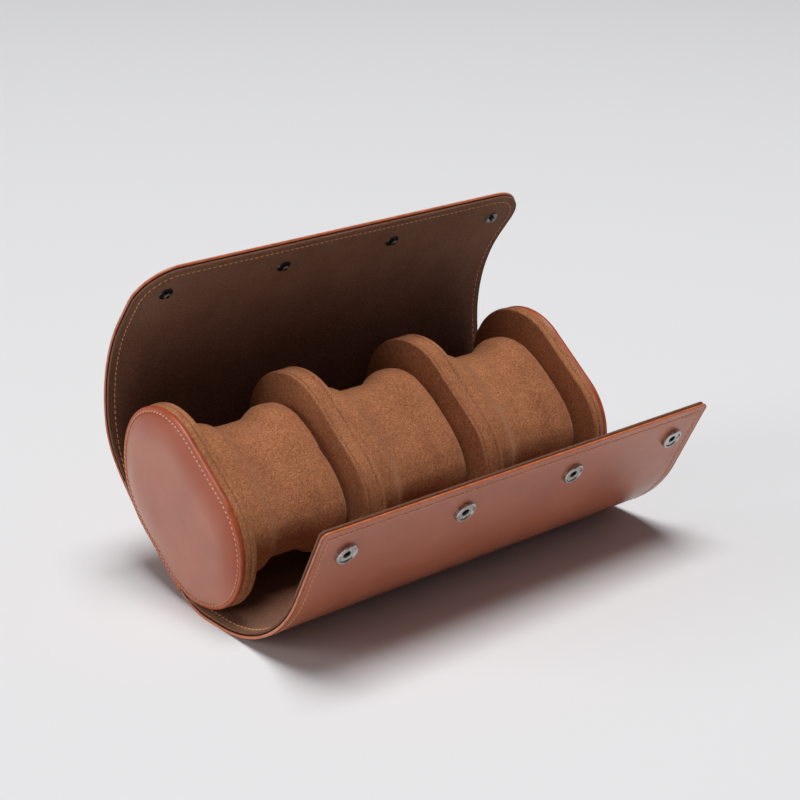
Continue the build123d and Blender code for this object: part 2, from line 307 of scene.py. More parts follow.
# ---------------------------------------------------------------- finishes
@dataclass(frozen=True)
class Leather:
    """Smooth tan leather with a fine pressed grain."""

    name: str = "tan_leather"
    deep: Colour = (0.410, 0.112, 0.052)
    mid: Colour = (0.460, 0.130, 0.062)
    pale: Colour = (0.505, 0.150, 0.075)
    roughness: float = 0.36
    grain_mm: float = 0.55
    # painted shade: darker, redder colour where the caps' faces reflect less light
    painted_shade_colour: Colour = (0.390, 0.066, 0.020)
    painted_shade_mm: float = 0.0  # reach of the painted shade, a darker and redder zone on the side of the ovals' opening
    painted_shade_from_mm: float = 2.0
    painted_shade_rise_mm: tuple[float, float] = (-9.0, 13.0)  # it sets in between these heights
    polish: float = 0.35
    use_uv: bool = True

    def build(self) -> bpy.types.Material:
        """Make the material.

        Returns:
            The material.
        """
        graph = Graph(self.name)
        place = graph.place(self.use_uv)
        cloud = graph.noise(place, 26, 4, 0.5)
        colour = graph.ramp(cloud, [(0.3, self.deep), (0.5, self.mid), (0.72, self.pale)])
        speck = graph.ramp(graph.noise(place, 0.8, 3), [(0.35, (0.90,) * 3), (0.65, (1.0,) * 3)])
        colour = graph.mix(colour, speck, 0.6, "MULTIPLY")
        polish: bpy.types.NodeSocket | float = self.polish
        if self.painted_shade_mm:
            # painted shade: towards the ovals' opening the colour darkens to the shade colour and
            # the coat falls away
            inset, height = graph.on_oval()
            inwards = graph.span(inset, 0.0, 1.0, self.painted_shade_from_mm, self.painted_shade_mm)
            upper = graph.span(height, 0.0, 1.0, *self.painted_shade_rise_mm)
            colour = graph.mix(colour, graph.mix(self.painted_shade_colour, colour, inwards), upper)
            full = (self.polish,) * 3
            polish = graph.mix(full, graph.mix((0.0,) * 3, full, inwards), upper)
        pebble = graph.cells(place, self.grain_mm)
        under = graph.bump(graph.noise(place, 7, 3), 0.25, 0.12)
        normal = graph.bump(pebble, 0.05, 0.35, under)
        patches = graph.noise(place, 9, 4)
        graph.set(
            Base_Color=colour,
            Roughness=graph.span(patches, self.roughness - 0.05, self.roughness + 0.07),
            Normal=normal,
            Specular_IOR_Level=0.5,
            Coat_Weight=polish,
            Coat_Roughness=0.28,
        )
        return graph.material


@dataclass(frozen=True)
class Edge:
    """Painted and burnished edge of the leather."""

    name: str = "burnished_edge"
    dark: Colour = (0.46, 0.105, 0.035)
    bright: Colour = (0.68, 0.185, 0.065)
    coat: float = 0.5
    use_uv: bool = True

    def build(self) -> bpy.types.Material:
        """Make the material.

        Returns:
            The material.
        """
        graph = Graph(self.name)
        place = graph.place(self.use_uv)
        cloud = graph.noise(place, 5, 4)
        normal = graph.bump(graph.noise(place, 0.6, 4), 0.08, 0.3)
        graph.set(
            Base_Color=graph.ramp(cloud, [(0.3, self.dark), (0.68, self.bright)]),
            Roughness=graph.span(cloud, 0.32, 0.5),
            Normal=normal,
            Specular_IOR_Level=0.4,
            Coat_Weight=self.coat,
            Coat_Roughness=0.22,
        )
        return graph.material


@dataclass(frozen=True)
class Suede:
    """Brown suede: short nap, mottled, with strokes where it lies another way."""

    name: str = "suede"
    dark: Colour = (0.345, 0.134, 0.059)
    mid: Colour = (0.455, 0.179, 0.080)
    light: Colour = (0.565, 0.232, 0.110)
    use_uv: bool = False

    def build(self) -> bpy.types.Material:
        """Make the material.

        Returns:
            The material.
        """
        graph = Graph(self.name)
        place = graph.place(self.use_uv)
        mottle = graph.noise(place, 1.5, 6, 0.75)
        colour = graph.ramp(mottle, [(0.30, self.dark), (0.5, self.mid), (0.72, self.light)])
        strokes = graph.noise(place, 17, 4, 0.6, (1, 0.6, 0.8))
        shade = graph.ramp(strokes, [(0.34, (0.82, 0.78, 0.76)), (0.62, (1.0, 1.0, 1.0))])
        colour = graph.mix(colour, shade, 1.0, "MULTIPLY")
        fibre = graph.noise(place, 0.62, 4, 0.75)
        low, high = (0.34, 0.32, 0.32), (1.5, 1.55, 1.6)
        fleck = graph.ramp(fibre, [(0.38, low), (0.5, (0.96, 0.95, 0.94)), (0.62, high)])
        colour = graph.mix(colour, fleck, 0.7, "MULTIPLY")
        under = graph.bump(mottle, 0.3, 0.3)
        normal = graph.bump(fibre, 0.25, 0.7, under)
        graph.set(
            Base_Color=colour,
            Roughness=graph.span(fibre, 0.86, 1.0),
            Normal=normal,
            Specular_IOR_Level=0.15,
            Sheen_Weight=0.35,
            Sheen_Roughness=0.45,
            Sheen_Tint=(0.95, 0.62, 0.40),
        )
        return graph.material


@dataclass(frozen=True)
class Thread:
    """Waxed sewing thread."""

    name: str = "thread"
    dark: Colour = (0.62, 0.26, 0.12)
    bright: Colour = (0.88, 0.44, 0.23)
    use_uv: bool = False

    def build(self) -> bpy.types.Material:
        """Make the material.

        Returns:
            The material.
        """
        graph = Graph(self.name)
        place = graph.place(self.use_uv)
        ply = graph.noise(place, 0.18, 3, 0.6)
        graph.set(
            Base_Color=graph.ramp(ply, [(0.3, self.dark), (0.6, self.bright)]),
            Roughness=graph.span(ply, 0.6, 0.8),
            Normal=graph.bump(ply, 0.05, 0.5),
            Specular_IOR_Level=0.2,
        )
        return graph.material


@dataclass(frozen=True)
class Metal:
    """Plated metal with fine wear."""

    name: str
    base: Colour
    worn: Colour
    low: float = 0.18
    high: float = 0.36

    def build(self) -> bpy.types.Material:
        """Make the material.

        Returns:
            The material.
        """
        graph = Graph(self.name)
        place = graph.place(False)
        wear = graph.noise(place, 1.4, 5, 0.6)
        fine = graph.noise(place, 0.12, 3, 0.6)
        graph.set(
            Base_Color=graph.ramp(wear, [(0.35, self.base), (0.7, self.worn)]),
            Metallic=1.0,
            Roughness=graph.span(wear, self.low, self.high),
            Normal=graph.bump(fine, 0.02, 0.3),
        )
        return graph.material


@dataclass(frozen=True)
class Plain:
    """Board and foam: matt, speckled."""

    name: str
    dark: Colour
    light: Colour
    size_mm: float = 0.6

    def build(self) -> bpy.types.Material:
        """Make the material.

        Returns:
            The material.
        """
        graph = Graph(self.name)
        place = graph.place(False)
        speck = graph.noise(place, self.size_mm, 5, 0.65)
        graph.set(
            Base_Color=graph.ramp(speck, [(0.35, self.dark), (0.65, self.light)]),
            Roughness=graph.span(speck, 0.82, 0.96),
            Normal=graph.bump(speck, 0.1, 0.4),
        )
        return graph.material


class Palette:
    """Every material of the scene, made once."""

    def __init__(self) -> None:
        """Build the materials."""
        self.leather = Leather().build()
        # the caps' leather has painted shade on the side of the ovals' opening
        self.cap_leather = Leather(
            name="cap_leather", painted_shade_mm=16.0, polish=0.6, use_uv=False
        ).build()
        self.edge = Edge().build()
        self.cap_edge = Edge(
            name="cap_edge",
            dark=(0.36, 0.066, 0.022),
            bright=(0.47, 0.095, 0.034),
            coat=0.2,
            use_uv=False,
        ).build()
        # painted shade: the lining is the cushions' suede at about half its colour, darkened to
        # stand for the shade on the wrap's inside
        self.lining = Suede(
            name="lining_suede_painted_shade",
            dark=(0.132, 0.058, 0.035),
            mid=(0.188, 0.084, 0.051),
            light=(0.250, 0.114, 0.070),
            use_uv=True,
        ).build()
        self.suede = Suede().build()
        self.thread = Thread().build()
        self.seam_thread = Thread("seam_thread", (0.19, 0.085, 0.045), (0.36, 0.18, 0.10)).build()
        self.nickel = Metal("satin_nickel", (0.42, 0.41, 0.40), (0.66, 0.64, 0.61)).build()
        dark_nickel, worn_nickel = (0.06, 0.06, 0.065), (0.17, 0.165, 0.16)
        self.black_nickel_and_bore_shade = Metal("black_nickel_and_bore_shade", dark_nickel, worn_nickel).build()
        self.spring = Metal("spring_steel", (0.36, 0.36, 0.37), (0.55, 0.55, 0.55)).build()
        self.board = Plain("book_board", (0.20, 0.15, 0.11), (0.36, 0.29, 0.22)).build()
        self.foam = Plain("foam", (0.55, 0.52, 0.45), (0.75, 0.72, 0.65), 0.9).build()
        log.info("materials: %d", len(bpy.data.materials))


# ---------------------------------------------------------------- section of the wrap
@dataclass(frozen=True)
class WrapSizes:
    """Driving sizes of the wrap, in metres and degrees."""

    half_width: float = 110 * MM
    lining: float = 1.2 * MM
    board: float = 0.6 * MM
    leather: float = 1.2 * MM
    lining_inset: float = 0.5 * MM
    oval_long: float = 95.2 * MM
    oval_short: float = 64.4 * MM
    oval_tilt: float = 38.0
    seat_gap: float = 0.3 * MM
    base_bend: float = 3.0 * MM
    flap_flat: float = 17.7 * MM
    flap_arc: float = 65.4 * MM
    flap_turn: float = 63.0
    flap_plate: float = 40.1 * MM
    flap_folds: tuple[float, ...] = (10.2 * MM, 29.3 * MM, 67.2 * MM)
    flap_corner: float = 3.0 * MM
    lid_arc: float = 39.0 * MM
    lid_arc_turn: float = 43.5
    lid_crown: float = 60.0 * MM
    lid_crown_turn: float = 46.5
    lid_plate: float = 33.0 * MM
    lid_folds: tuple[float, ...] = (19.8 * MM, 49.5 * MM, 84.5 * MM, 102.5 * MM)
    lid_corner: float = 20.0 * MM
    bend_reach: float = 8.5 * MM  # reach each side of a fold, from which the build works out a bend zone's ends
    lap_drop: float = 3.1 * MM  # the caps' leather laps so far below the ovals' straight side
    lap_reach: float = 38.0 * MM  # length of the lap, down from the upper end of that side
    lap_ease: float = 4.0 * MM  # the lap turns back to the oval so far before that end
    lap_recess: float = 3.1 * MM  # the wrap's ends are cut back so far behind the lap
    lap_from: float = 3.0 * MM  # the cut sets in so far along the base
    lap_slant: float = 22.0 * MM  # and has its full depth after this length
    lap_top: float = 46.0 * MM  # it runs out so far past the start of the lid
    lap_fade: float = 38.0 * MM  # over this length

    @property
    def total(self) -> float:
        """Thickness of the three layers."""
        return self.lining + self.board + self.leather

    @property
    def radius(self) -> float:
        """End radius of the ovals."""
        return self.oval_short / 2

    @property
    def straight(self) -> float:
        """Middle of the ovals to the end of a straight side."""
        return (self.oval_long - self.oval_short) / 2


def smooth(share: float) -> float:
    """Ease from 0 to 1.

    Args:
        share: How far, held between 0 and 1.

    Returns:
        The eased share.
    """
    held = min(max(share, 0.0), 1.0)
    return held * held * (3 - 2 * held)


def unit(angle: float) -> Vector:
    """Direction in the section.

    Args:
        angle: Degrees from +Y towards +Z.

    Returns:
        The direction as (y, z).
    """
    return Vector((math.cos(math.radians(angle)), math.sin(math.radians(angle))))


@dataclass(frozen=True)
class Course:
    """The lining's surface in the section, as straight and round runs that curl one way."""

    start: Vector
    heading: float
    side: int
    runs: tuple[tuple[float, float], ...]

    @property
    def length(self) -> float:
        """Length of all runs."""
        return sum(length for length, _ in self.runs)

    def at(self, distance: float) -> tuple[Vector, float]:
        """Point on the surface and heading.

        Args:
            distance: How far along.

        Returns:
            The point (y, z) and the heading in degrees.
        """
        point, heading, left = self.start, self.heading, distance
        for number, (length, turn) in enumerate(self.runs):
            last = number == len(self.runs) - 1
            part = left if last else min(left, length)
            if turn:
                radius = length / math.radians(turn)
                middle = point + unit(heading + 90 * self.side) * radius
                heading += self.side * turn * part / length
                point = middle - unit(heading + 90 * self.side) * radius
            else:
                point = point + unit(heading) * part
            left -= part
            if left <= 0:
                break
        return point, heading

    def normal(self, distance: float) -> Vector:
        """Direction out of the wrap.

        Args:
            distance: How far along.

        Returns:
            The direction (y, z).
        """
        return -unit(self.at(distance)[1] + 90 * self.side)

    def surface(self, x: float, distance: float, depth: float) -> Vector:
        """Point in space.

        Args:
            x: Along the case.
            distance: Along the course.
            depth: Out of the lining's surface.

        Returns:
            The point.
        """
        point, heading = self.at(distance)
        point = point - unit(heading + 90 * self.side) * depth
        return Vector((x, point.x, point.y))


class Section:
    """The two courses of the wrap and the place of the ovals."""

    def __init__(self, sizes: WrapSizes) -> None:
        """Work the section out from its sizes.

        Args:
            sizes: Driving sizes.
        """
        self.sizes = sizes
        self.along = unit(sizes.oval_tilt)
        self.across = unit(sizes.oval_tilt + 90)
        drop = sizes.seat_gap + sizes.radius * (1 - self.across.y) + sizes.straight * self.along.y
        corner = -drop / self.along.y
        past_low = (sizes.straight + corner) * self.along.x + sizes.radius * self.along.y
        tangent = sizes.base_bend * math.tan(math.radians(sizes.oval_tilt / 2))
        strip = sizes.flap_folds[0] + past_low - tangent
        side = sizes.straight - corner - tangent
        self.low = Vector((sizes.flap_folds[0] - strip / 2, sizes.total))
        rise = sizes.seat_gap + sizes.radius
        self.middle = self.low + Vector((sizes.straight * self.along.x, rise))
        self.middle.y += sizes.straight * self.along.y
        bend = math.radians(sizes.oval_tilt) * sizes.base_bend
        self.base = Course(
            self.low - Vector((sizes.flap_folds[0], 0)),
            0.0,
            1,
            (
                (strip, 0.0),
                (bend, sizes.oval_tilt),
                (side, 0.0),
                (sizes.lid_arc, sizes.lid_arc_turn),
                (sizes.lid_crown, sizes.lid_crown_turn),
                (sizes.lid_plate, 0.0),
            ),
        )
        self.flap = Course(
            self.low,
            180.0,
            -1,
            ((sizes.flap_flat, 0.0), (sizes.flap_arc, sizes.flap_turn), (sizes.flap_plate, 0.0)),
        )
        self.strip = strip
        self.lid_start = strip + bend + side
        self.lid_folds = tuple(self.lid_start + fold for fold in sizes.lid_folds)
        self.low_on_base = sizes.flap_folds[0]

    def recess(self, distance: float) -> float:
        """How far the wrap's ends are cut back behind the caps' leather.

        Args:
            distance: How far along the base's course.

        Returns:
            The recess.
        """
        sizes = self.sizes
        rise = smooth((distance - sizes.lap_from) / sizes.lap_slant)
        fall = smooth((self.lid_start + sizes.lap_top - distance) / sizes.lap_fade)
        return sizes.lap_recess * min(rise, fall)


# ---------------------------------------------------------------- mesh helpers
class Solid:
    """Vertices, faces and per-face materials on their way to a mesh."""

    def __init__(self) -> None:
        """Start empty."""
        self.points: list[Vector] = []
        self.faces: list[tuple[int, ...]] = []
        self.kinds: list[int] = []
        self.places: list[tuple[float, float]] = []

    def add(self, point: Vector, place: tuple[float, float] = (0.0, 0.0)) -> int:
        """Add a vertex.

        Args:
            point: Where it is.
            place: Its UV, in metres.

        Returns:
            Its number.
        """
        self.points.append(point)
        self.places.append(place)
        return len(self.points) - 1

    def face(self, corners: Sequence[int], kind: int = 0) -> None:
        """Add a face.

        Args:
            corners: Vertex numbers.
            kind: Index of its material.
        """
        self.faces.append(tuple(corners))
        self.kinds.append(kind)

    def bridge(
        self, first: Sequence[int], second: Sequence[int], kind: int = 0, closed: bool = False
    ) -> None:
        """Join two rows of vertices with quads.

        Args:
            first: One row.
            second: The other row.
            kind: Index of the material.
            closed: Join the ends too.
        """
        count = len(first)
        for k in range(count if closed else count - 1):
            n = (k + 1) % count
            self.face((first[k], first[n], second[n], second[k]), kind)

    def build(self, name: str, materials: Sequence[bpy.types.Material]) -> bpy.types.Object:
        """Make the object.

        Args:
            name: The piece's name.
            materials: One for each kind.

        Returns:
            The object.
        """
        mesh = bpy.data.meshes.new(name)
        mesh.from_pydata([tuple(p) for p in self.points], [], self.faces)
        for material in materials:
            mesh.materials.append(material)
        mesh.polygons.foreach_set("material_index", self.kinds)
        mesh.polygons.foreach_set("use_smooth", [True] * len(mesh.polygons))
        layer = mesh.uv_layers.new(name="Sheet")
        loops = np.zeros(len(mesh.loops), np.int32)
        mesh.loops.foreach_get("vertex_index", loops)
        layer.data.foreach_set("uv", np.array(self.places, np.float32)[loops].ravel())
        mesh.update()
        piece = bpy.data.objects.new(name, mesh)
        bpy.context.scene.collection.objects.link(piece)
        return piece


@dataclass(frozen=True)
class Stitch:
    """One visible stitch of thread."""

    pitch: float = 2.75 * MM
    length: float = 2.15 * MM
    thickness: float = 0.24 * MM
    rise: float = 0.13 * MM
    slant: float = 5.0  # degrees off the seam's direction
    slant_spread: float = 5.0
    length_spread: float = 0.08  # share of the length
    flatness: float = 1.15  # width over height
    dive: float = 1.9  # the ends dip below the surface by this share of the rise, less one
    least_girth: float = 0.02
    sides: int = 6
    rings: int = 6

    def sew(self, solid: Solid, middle: Vector, along: Vector, out: Vector, seed: int) -> None:
        """Add one stitch.

        Args:
            solid: Where it goes.
            middle: Its middle, on the surface.
            along: The seam's direction.
            out: Out of the surface.
            seed: Number that sets its small differences.
        """
        wobble = noise.noise_vector(Vector((seed * 1.7, 0.3, 0.8)))
        slant = self.slant + self.slant_spread * wobble.x
        way = (Matrix.Rotation(math.radians(slant), 3, out) @ along).normalized()
        across = out.cross(way).normalized()
        length = self.length * (1 + self.length_spread * wobble.y)
        previous: list[int] = []
        for ring in range(self.rings + 1):
            t = ring / self.rings * 2 - 1
            girth = self.thickness * math.sqrt(max(1 - t**4, self.least_girth))
            centre = middle + way * (t * length / 2) + out * (self.rise * (1 - self.dive * t**4))
            ids = []
            for k in range(self.sides):
                angle = 2 * math.pi * k / self.sides
                wide = across * (girth * self.flatness * math.cos(angle))
                ids.append(solid.add(centre + wide + out * (girth * math.sin(angle))))
            if previous:
                solid.bridge(previous, ids, closed=True)
            else:
                solid.face(ids[::-1])
            previous = ids
        solid.face(previous)


# ---------------------------------------------------------------- the wrap
@dataclass(frozen=True)
class Outline:
    """One wing of the wrap laid flat: half its width, its free end and that end's corners."""

    half_width: float
    end: float
    corner: float
    least_corner: float = 0.4 * MM

    def inset(self, distance: float) -> "Outline":
        """Return the outline moved inwards.

        Args:
            distance: How far.

        Returns:
            The smaller outline.
        """
        corner = max(self.corner - distance, self.least_corner)
        return Outline(self.half_width - distance, self.end - distance, corner)

    def depth(self, x: float, u: float) -> float:
        """Distance from the outline, inwards.

        Args:
            x: Across.
            u: Along.

        Returns:
            The distance.
        """
        dx, du = self.half_width - abs(x), self.end - u
        if dx < self.corner and du < self.corner:
            return self.corner - math.hypot(self.corner - dx, self.corner - du)
        return min(dx, du)


@dataclass(frozen=True)
class Layer:
    """One layer of the wrap: its depths, the inset of its edge and how far that edge bulges."""

    near: float
    far: float
    inset: float
    bulge: float
    seam: float = 4.0 * MM
    seam_depth: float = 0.14 * MM
    seam_width: float = 0.7 * MM

    def shows(self, depth: float) -> bool:
        """Whether the layer's face at a depth is one of the wrap's own two faces."""
        return depth == 0 or (depth == self.far and self.near > 0)

    def edge(self, steps: int) -> list[tuple[float, float]]:
        """Profile of the rounded edge between the two faces.

        Args:
            steps: How many steps it has.

        Returns:
            For each ring between them its depth and how far it stands out.
        """
        middle, half = (self.near + self.far) / 2, (self.far - self.near) / 2
        angles = [math.pi * step / steps for step in range(1, steps)]
        return [(middle - half * math.cos(a), self.bulge * math.sin(a)) for a in angles]


@dataclass(frozen=True)
class Span:
    """Part of a wing about one fold, between the two bodies it joins."""

    number: int
    course: Course
    start: float
    stop: float
    fold: float
    bodies: tuple[str, str]
    stands_for: tuple[str, ...]
    free: bool = False


class Wrap:
    """The sheet of leather, board and suede: its leather and suede as skins, one for each span
    about a fold.
    """

    EDGE_STEPS = 6
    ROW = 2.0 * MM
    FINE_ROW = 0.6 * MM
    FINE_ZONE = 9.0 * MM
    LEAST_STRIP = 0.01 * MM
    EDGE_COLUMNS = (0, 0.8, 1.6, 2.4, 3.0, 3.5, 4.0, 4.5, 5.0, 5.7, 7.0, 9.5, 13.0)
    MIDDLE_COLUMNS = 31

    def __init__(self, section: Section, palette: Palette, stitch: Stitch) -> None:
        """Keep what the wrap is made from.

        Args:
            section: Its courses.
            palette: Materials.
            stitch: Its stitches.
        """
        self.section = section
        self.sizes = section.sizes
        self.palette = palette
        self.stitch = stitch
        sizes = self.sizes
        self.lining = Layer(0.0, sizes.lining, sizes.lining_inset, 0.25 * MM)
        self.leather = Layer(sizes.lining + sizes.board, sizes.total, 0.0, 0.4 * MM)
        self.flap_outline = Outline(sizes.half_width, section.flap.length, sizes.flap_corner)
        self.lid_outline = Outline(sizes.half_width, section.base.length, sizes.lid_corner)

    def spans(self) -> list[Span]:
        """Cut both wings up, so that each part holds one fold.

        Returns:
            The parts, the flap's from its edge inwards and then the lid's outwards.
        """
        flap, base = self.section.flap, self.section.base
        one, two, three = self.sizes.flap_folds
        low, high = (one + two) / 2, (two + three) / 2
        root, middle, front = "flap_root", "flap_middle", "flap_front"
        made = [
            Span(1, flap, high, flap.length, three, (middle, front), (front,), True),
            Span(2, flap, low, high, two, (root, middle), (middle,)),
            Span(3, flap, 0.0, low, one, ("base", root), (root,)),
        ]
        folds = self.section.lid_folds
        stops = [(a + b) / 2 for a, b in zip(folds, folds[1:])] + [base.length]
        names = ("base", "lid_root", "lid_back", "lid_top", "lid_front")
        start = self.section.low_on_base
        for number, (fold, stop) in enumerate(zip(folds, stops)):
            pair = names[number], names[number + 1]
            stands = pair if number == 0 else pair[1:]
            free = stop == base.length
            made.append(Span(4 + number, base, start, stop, fold, pair, stands, free))
            start = stop
        return made

    def outline(self, span: Span) -> Outline:
        """Return the flat outline of a span's wing.

        Args:
            span: The span.

        Returns:
            Its wing's outline.
        """
        return self.flap_outline if span.course is self.section.flap else self.lid_outline

    def rows(self, span: Span, outline: Outline) -> list[Row]:
        """Places of the rows across a span.

        Args:
            span: The span.
            outline: The inset outline that the rows end on.

        Returns:
            For each row its place, half its width and the angle of the outline's normal.
        """
        if not span.free:
            length = span.stop - span.start
            count = max(2, round(length / self.ROW))
            places = [span.start + length * k / count for k in range(count + 1)]
            low = self.section.low_on_base
            made = []
            for u in places:
                along = u if span.course is self.section.base else low - u
                made.append((u, outline.half_width - self.section.recess(along), 0.0))
            return made
        bend = outline.end - outline.corner
        fine = max(min(outline.end - self.FINE_ZONE, bend), span.start)
        count = max(2, round((fine - span.start) / self.ROW))
        places = list(np.linspace(span.start, fine, count + 1))
        if bend - fine > self.LEAST_STRIP:
            steps = max(1, round((bend - fine) / self.FINE_ROW))
            places += list(np.linspace(fine, bend, steps + 1))[1:]
        made = [(u, outline.half_width, 0.0) for u in places]
        steps = max(6, round(outline.corner * math.pi / 2 / self.FINE_ROW))
        for k in range(1, steps + 1):
            angle = math.pi / 2 * k / steps
            u = bend + outline.corner * math.sin(angle)
            half = outline.half_width - outline.corner * (1 - math.cos(angle))
            made.append((u, half, angle))
        return made

    def columns(self, half: float) -> list[float]:
        """Places of the columns along a row.

        Args:
            half: Half the row's width.

        Returns:
            Places across, from left to right.
        """
        edge = [d * MM for d in self.EDGE_COLUMNS]
        inner, last = half - edge[-1], self.MIDDLE_COLUMNS - 1
        middle = [inner * (2 * k / last - 1) for k in range(self.MIDDLE_COLUMNS)]
        left = [-half + d for d in edge[:-1]]
        return left + middle + [-x for x in reversed(left)]

    def skin(self, span: Span, layer: Layer, kinds: tuple[int, int]) -> Solid:
        """Make one layer of one span as a closed skin with rounded edges.

        Args:
            span: The span.
            layer: The layer.
            kinds: Material of the faces and of the edge.

        Returns:
            The solid.
        """
        solid = Solid()
        whole = self.outline(span).inset(layer.inset)
        inner = whole.inset(layer.bulge)
        rows = self.rows(span, inner)
        grids = []
        for depth, sign in ((layer.near, 1), (layer.far, -1)):
            grid = []
            for u, half, _ in rows:
                row = []
                for x in self.columns(half):
                    away = whole.depth(x, u) + layer.inset
                    off = (away - layer.seam) / layer.seam_width
                    dent = layer.seam_depth * math.exp(-(off**2))
                    lift = sign * dent if layer.shows(depth) else 0.0
                    row.append(solid.add(span.course.surface(x, u, depth + lift), (x, u)))
                grid.append(row)
            grids.append(grid)
        for grid, flip in zip(grids, (False, True)):
            for first, second in zip(grid, grid[1:]):
                solid.bridge(second if flip else first, first if flip else second, kinds[0])
        rims = [self.rim(grid, rows, span.free) for grid in grids]
        previous, line = rims[0]
        for depth, reach in layer.edge(self.EDGE_STEPS):
            ring = []
            for x, u, out in line:
                where = span.course.surface(x + out.x * reach, u + out.y * reach, depth)
                far = reach + depth
                ring.append(solid.add(where, (x + out.x * far, u + out.y * far)))
            solid.bridge(previous, ring, kinds[1])
            previous = ring
        solid.bridge(previous, rims[1][0], kinds[1])
        if not span.free:
            lefts = [[row[0] for row in grid] for grid in grids]
            self.left_edge(solid, span, layer, lefts, line, kinds[1])
        return solid

    def rim(
        self, grid: list[list[int]], rows: list[Row], free: bool
    ) -> tuple[list[int], list[RimPoint]]:
        """Walk round a grid's rim: up its right side, and where the end is free back down its left.

        Args:
            grid: Vertex numbers.
            rows: The grid's rows.
            free: Whether the span ends at a free edge.

        Returns:
            The vertices, and for each its place and outward direction in the flat sheet.
        """
        ids, places = [], []
        for row, (u, half, angle) in zip(grid, rows):
            ids.append(row[-1])
            places.append((half, u, Vector((math.cos(angle), math.sin(angle)))))
        if free:
            u, half, _ = rows[-1]
            xs = self.columns(half)
            for k in range(len(xs) - 2, 0, -1):
                ids.append(grid[-1][k])
                places.append((xs[k], u, Vector((0, 1))))
            for row, (u, half, angle) in zip(reversed(grid), reversed(rows)):
                ids.append(row[0])
                places.append((-half, u, Vector((-math.cos(angle), math.sin(angle)))))
        return ids, places

    def left_edge(
        self,
        solid: Solid,
        span: Span,
        layer: Layer,
        lefts: list[list[int]],
        line: list[RimPoint],
        kind: int,
    ) -> None:
        """Round the left edge of a span that has no free end.

        Args:
            solid: What is being made.
            span: The span.
            layer: The layer.
            lefts: The left edges of both faces.
            line: The right edge's places in the flat sheet.
            kind: Index of the edge's material.
        """
        previous = lefts[0]
        for depth, reach in layer.edge(self.EDGE_STEPS):
            ring = []
            for x, u, _ in line:
                where = span.course.surface(-x - reach, u, depth)
                ring.append(solid.add(where, (-x - reach - depth, u)))
            solid.bridge(ring, previous, kind)
            previous = ring
        solid.bridge(lefts[1], previous, kind)

    def seam_path(self, outline: Outline, inset: float, start: float) -> list[RimPoint]:
        """Places of the stitches of one wing.

        Args:
            outline: The wing's outline.
            inset: Distance of the seam from it.
            start: Where the wing begins.

        Returns:
            For each stitch its place and direction in the flat sheet.
        """
        line = outline.inset(inset)
        side = line.end - line.corner - start
        arc = line.corner * math.pi / 2
        across = 2 * (line.half_width - line.corner)
        total = 2 * side + 2 * arc + across
        count = round(total / self.stitch.pitch)
        made = []
        for k in range(count):
            s = (k + 0.5) * total / count
            mirrored = s > total / 2
            t = total - s if mirrored else s
            if t < side:
                place, way = (line.half_width, start + t), Vector((0, 1))
            elif t < side + arc:
                angle = (t - side) / line.corner
                x = line.half_width - line.corner * (1 - math.cos(angle))
                place = (x, start + side + line.corner * math.sin(angle))
                way = Vector((-math.sin(angle), math.cos(angle)))
            else:
                place = (line.half_width - line.corner - (t - side - arc), line.end)
                way = Vector((-1, 0))
            if mirrored:
                place, way = (-place[0], place[1]), Vector((way.x, -way.y))
            made.append((*place, way))
        return made

    def stitches(self, span: Span) -> Solid:
        """Make the stitches of a span, on both faces.

        Args:
            span: The span.

        Returns:
            The solid.
        """
        solid = Solid()
        outline = self.outline(span)
        begin = 0.0 if span.course is self.section.flap else self.section.low_on_base
        total = self.sizes.total
        stop = math.inf if span.free else span.stop
        for number, (x, u, way) in enumerate(self.seam_path(outline, self.leather.seam, begin)):
            if not span.start <= u < stop:
                continue
            for side, depth in ((Side.INSIDE, 0.0), (Side.OUTSIDE, total)):
                level = depth - self.leather.seam_depth * side.value
                step = way * (self.stitch.length / 2)
                first, second = [
                    span.course.surface(x + step.x * k, u + step.y * k, level) for k in (-1, 1)
                ]
                normal = span.course.normal(u) * side.value
                out = Vector((0, normal.x, normal.y))
                along = (second - first).normalized()
                self.stitch.sew(solid, (first + second) / 2, along, out, number)
        return solid

    def build(self) -> None:
        """Make every span's leather, lining and thread."""
        palette = self.palette
        for span in self.spans():
            leather = self.skin(span, self.leather, (0, 1)).build(
                f"wrap_leather_{span.number}", (palette.leather, palette.edge)
            )
            lining = self.skin(span, self.lining, (0, 0)).build(
                f"wrap_lining_{span.number}", (palette.lining,)
            )
            thread = self.stitches(span).build(f"wrap_thread_{span.number}", (palette.thread,))
            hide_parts(*(f"{body}_leather" for body in span.stands_for))
            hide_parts(*(f"{body}_lining" for body in span.stands_for))
            reach = self.sizes.bend_reach
            ends = [span.course.surface(0, span.fold + way * reach, 0) for way in (-1, 1)]
            for piece in (leather, lining, thread):
                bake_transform(piece)
            log.info("wrap span %d: %d faces of leather", span.number, len(leather.data.polygons))


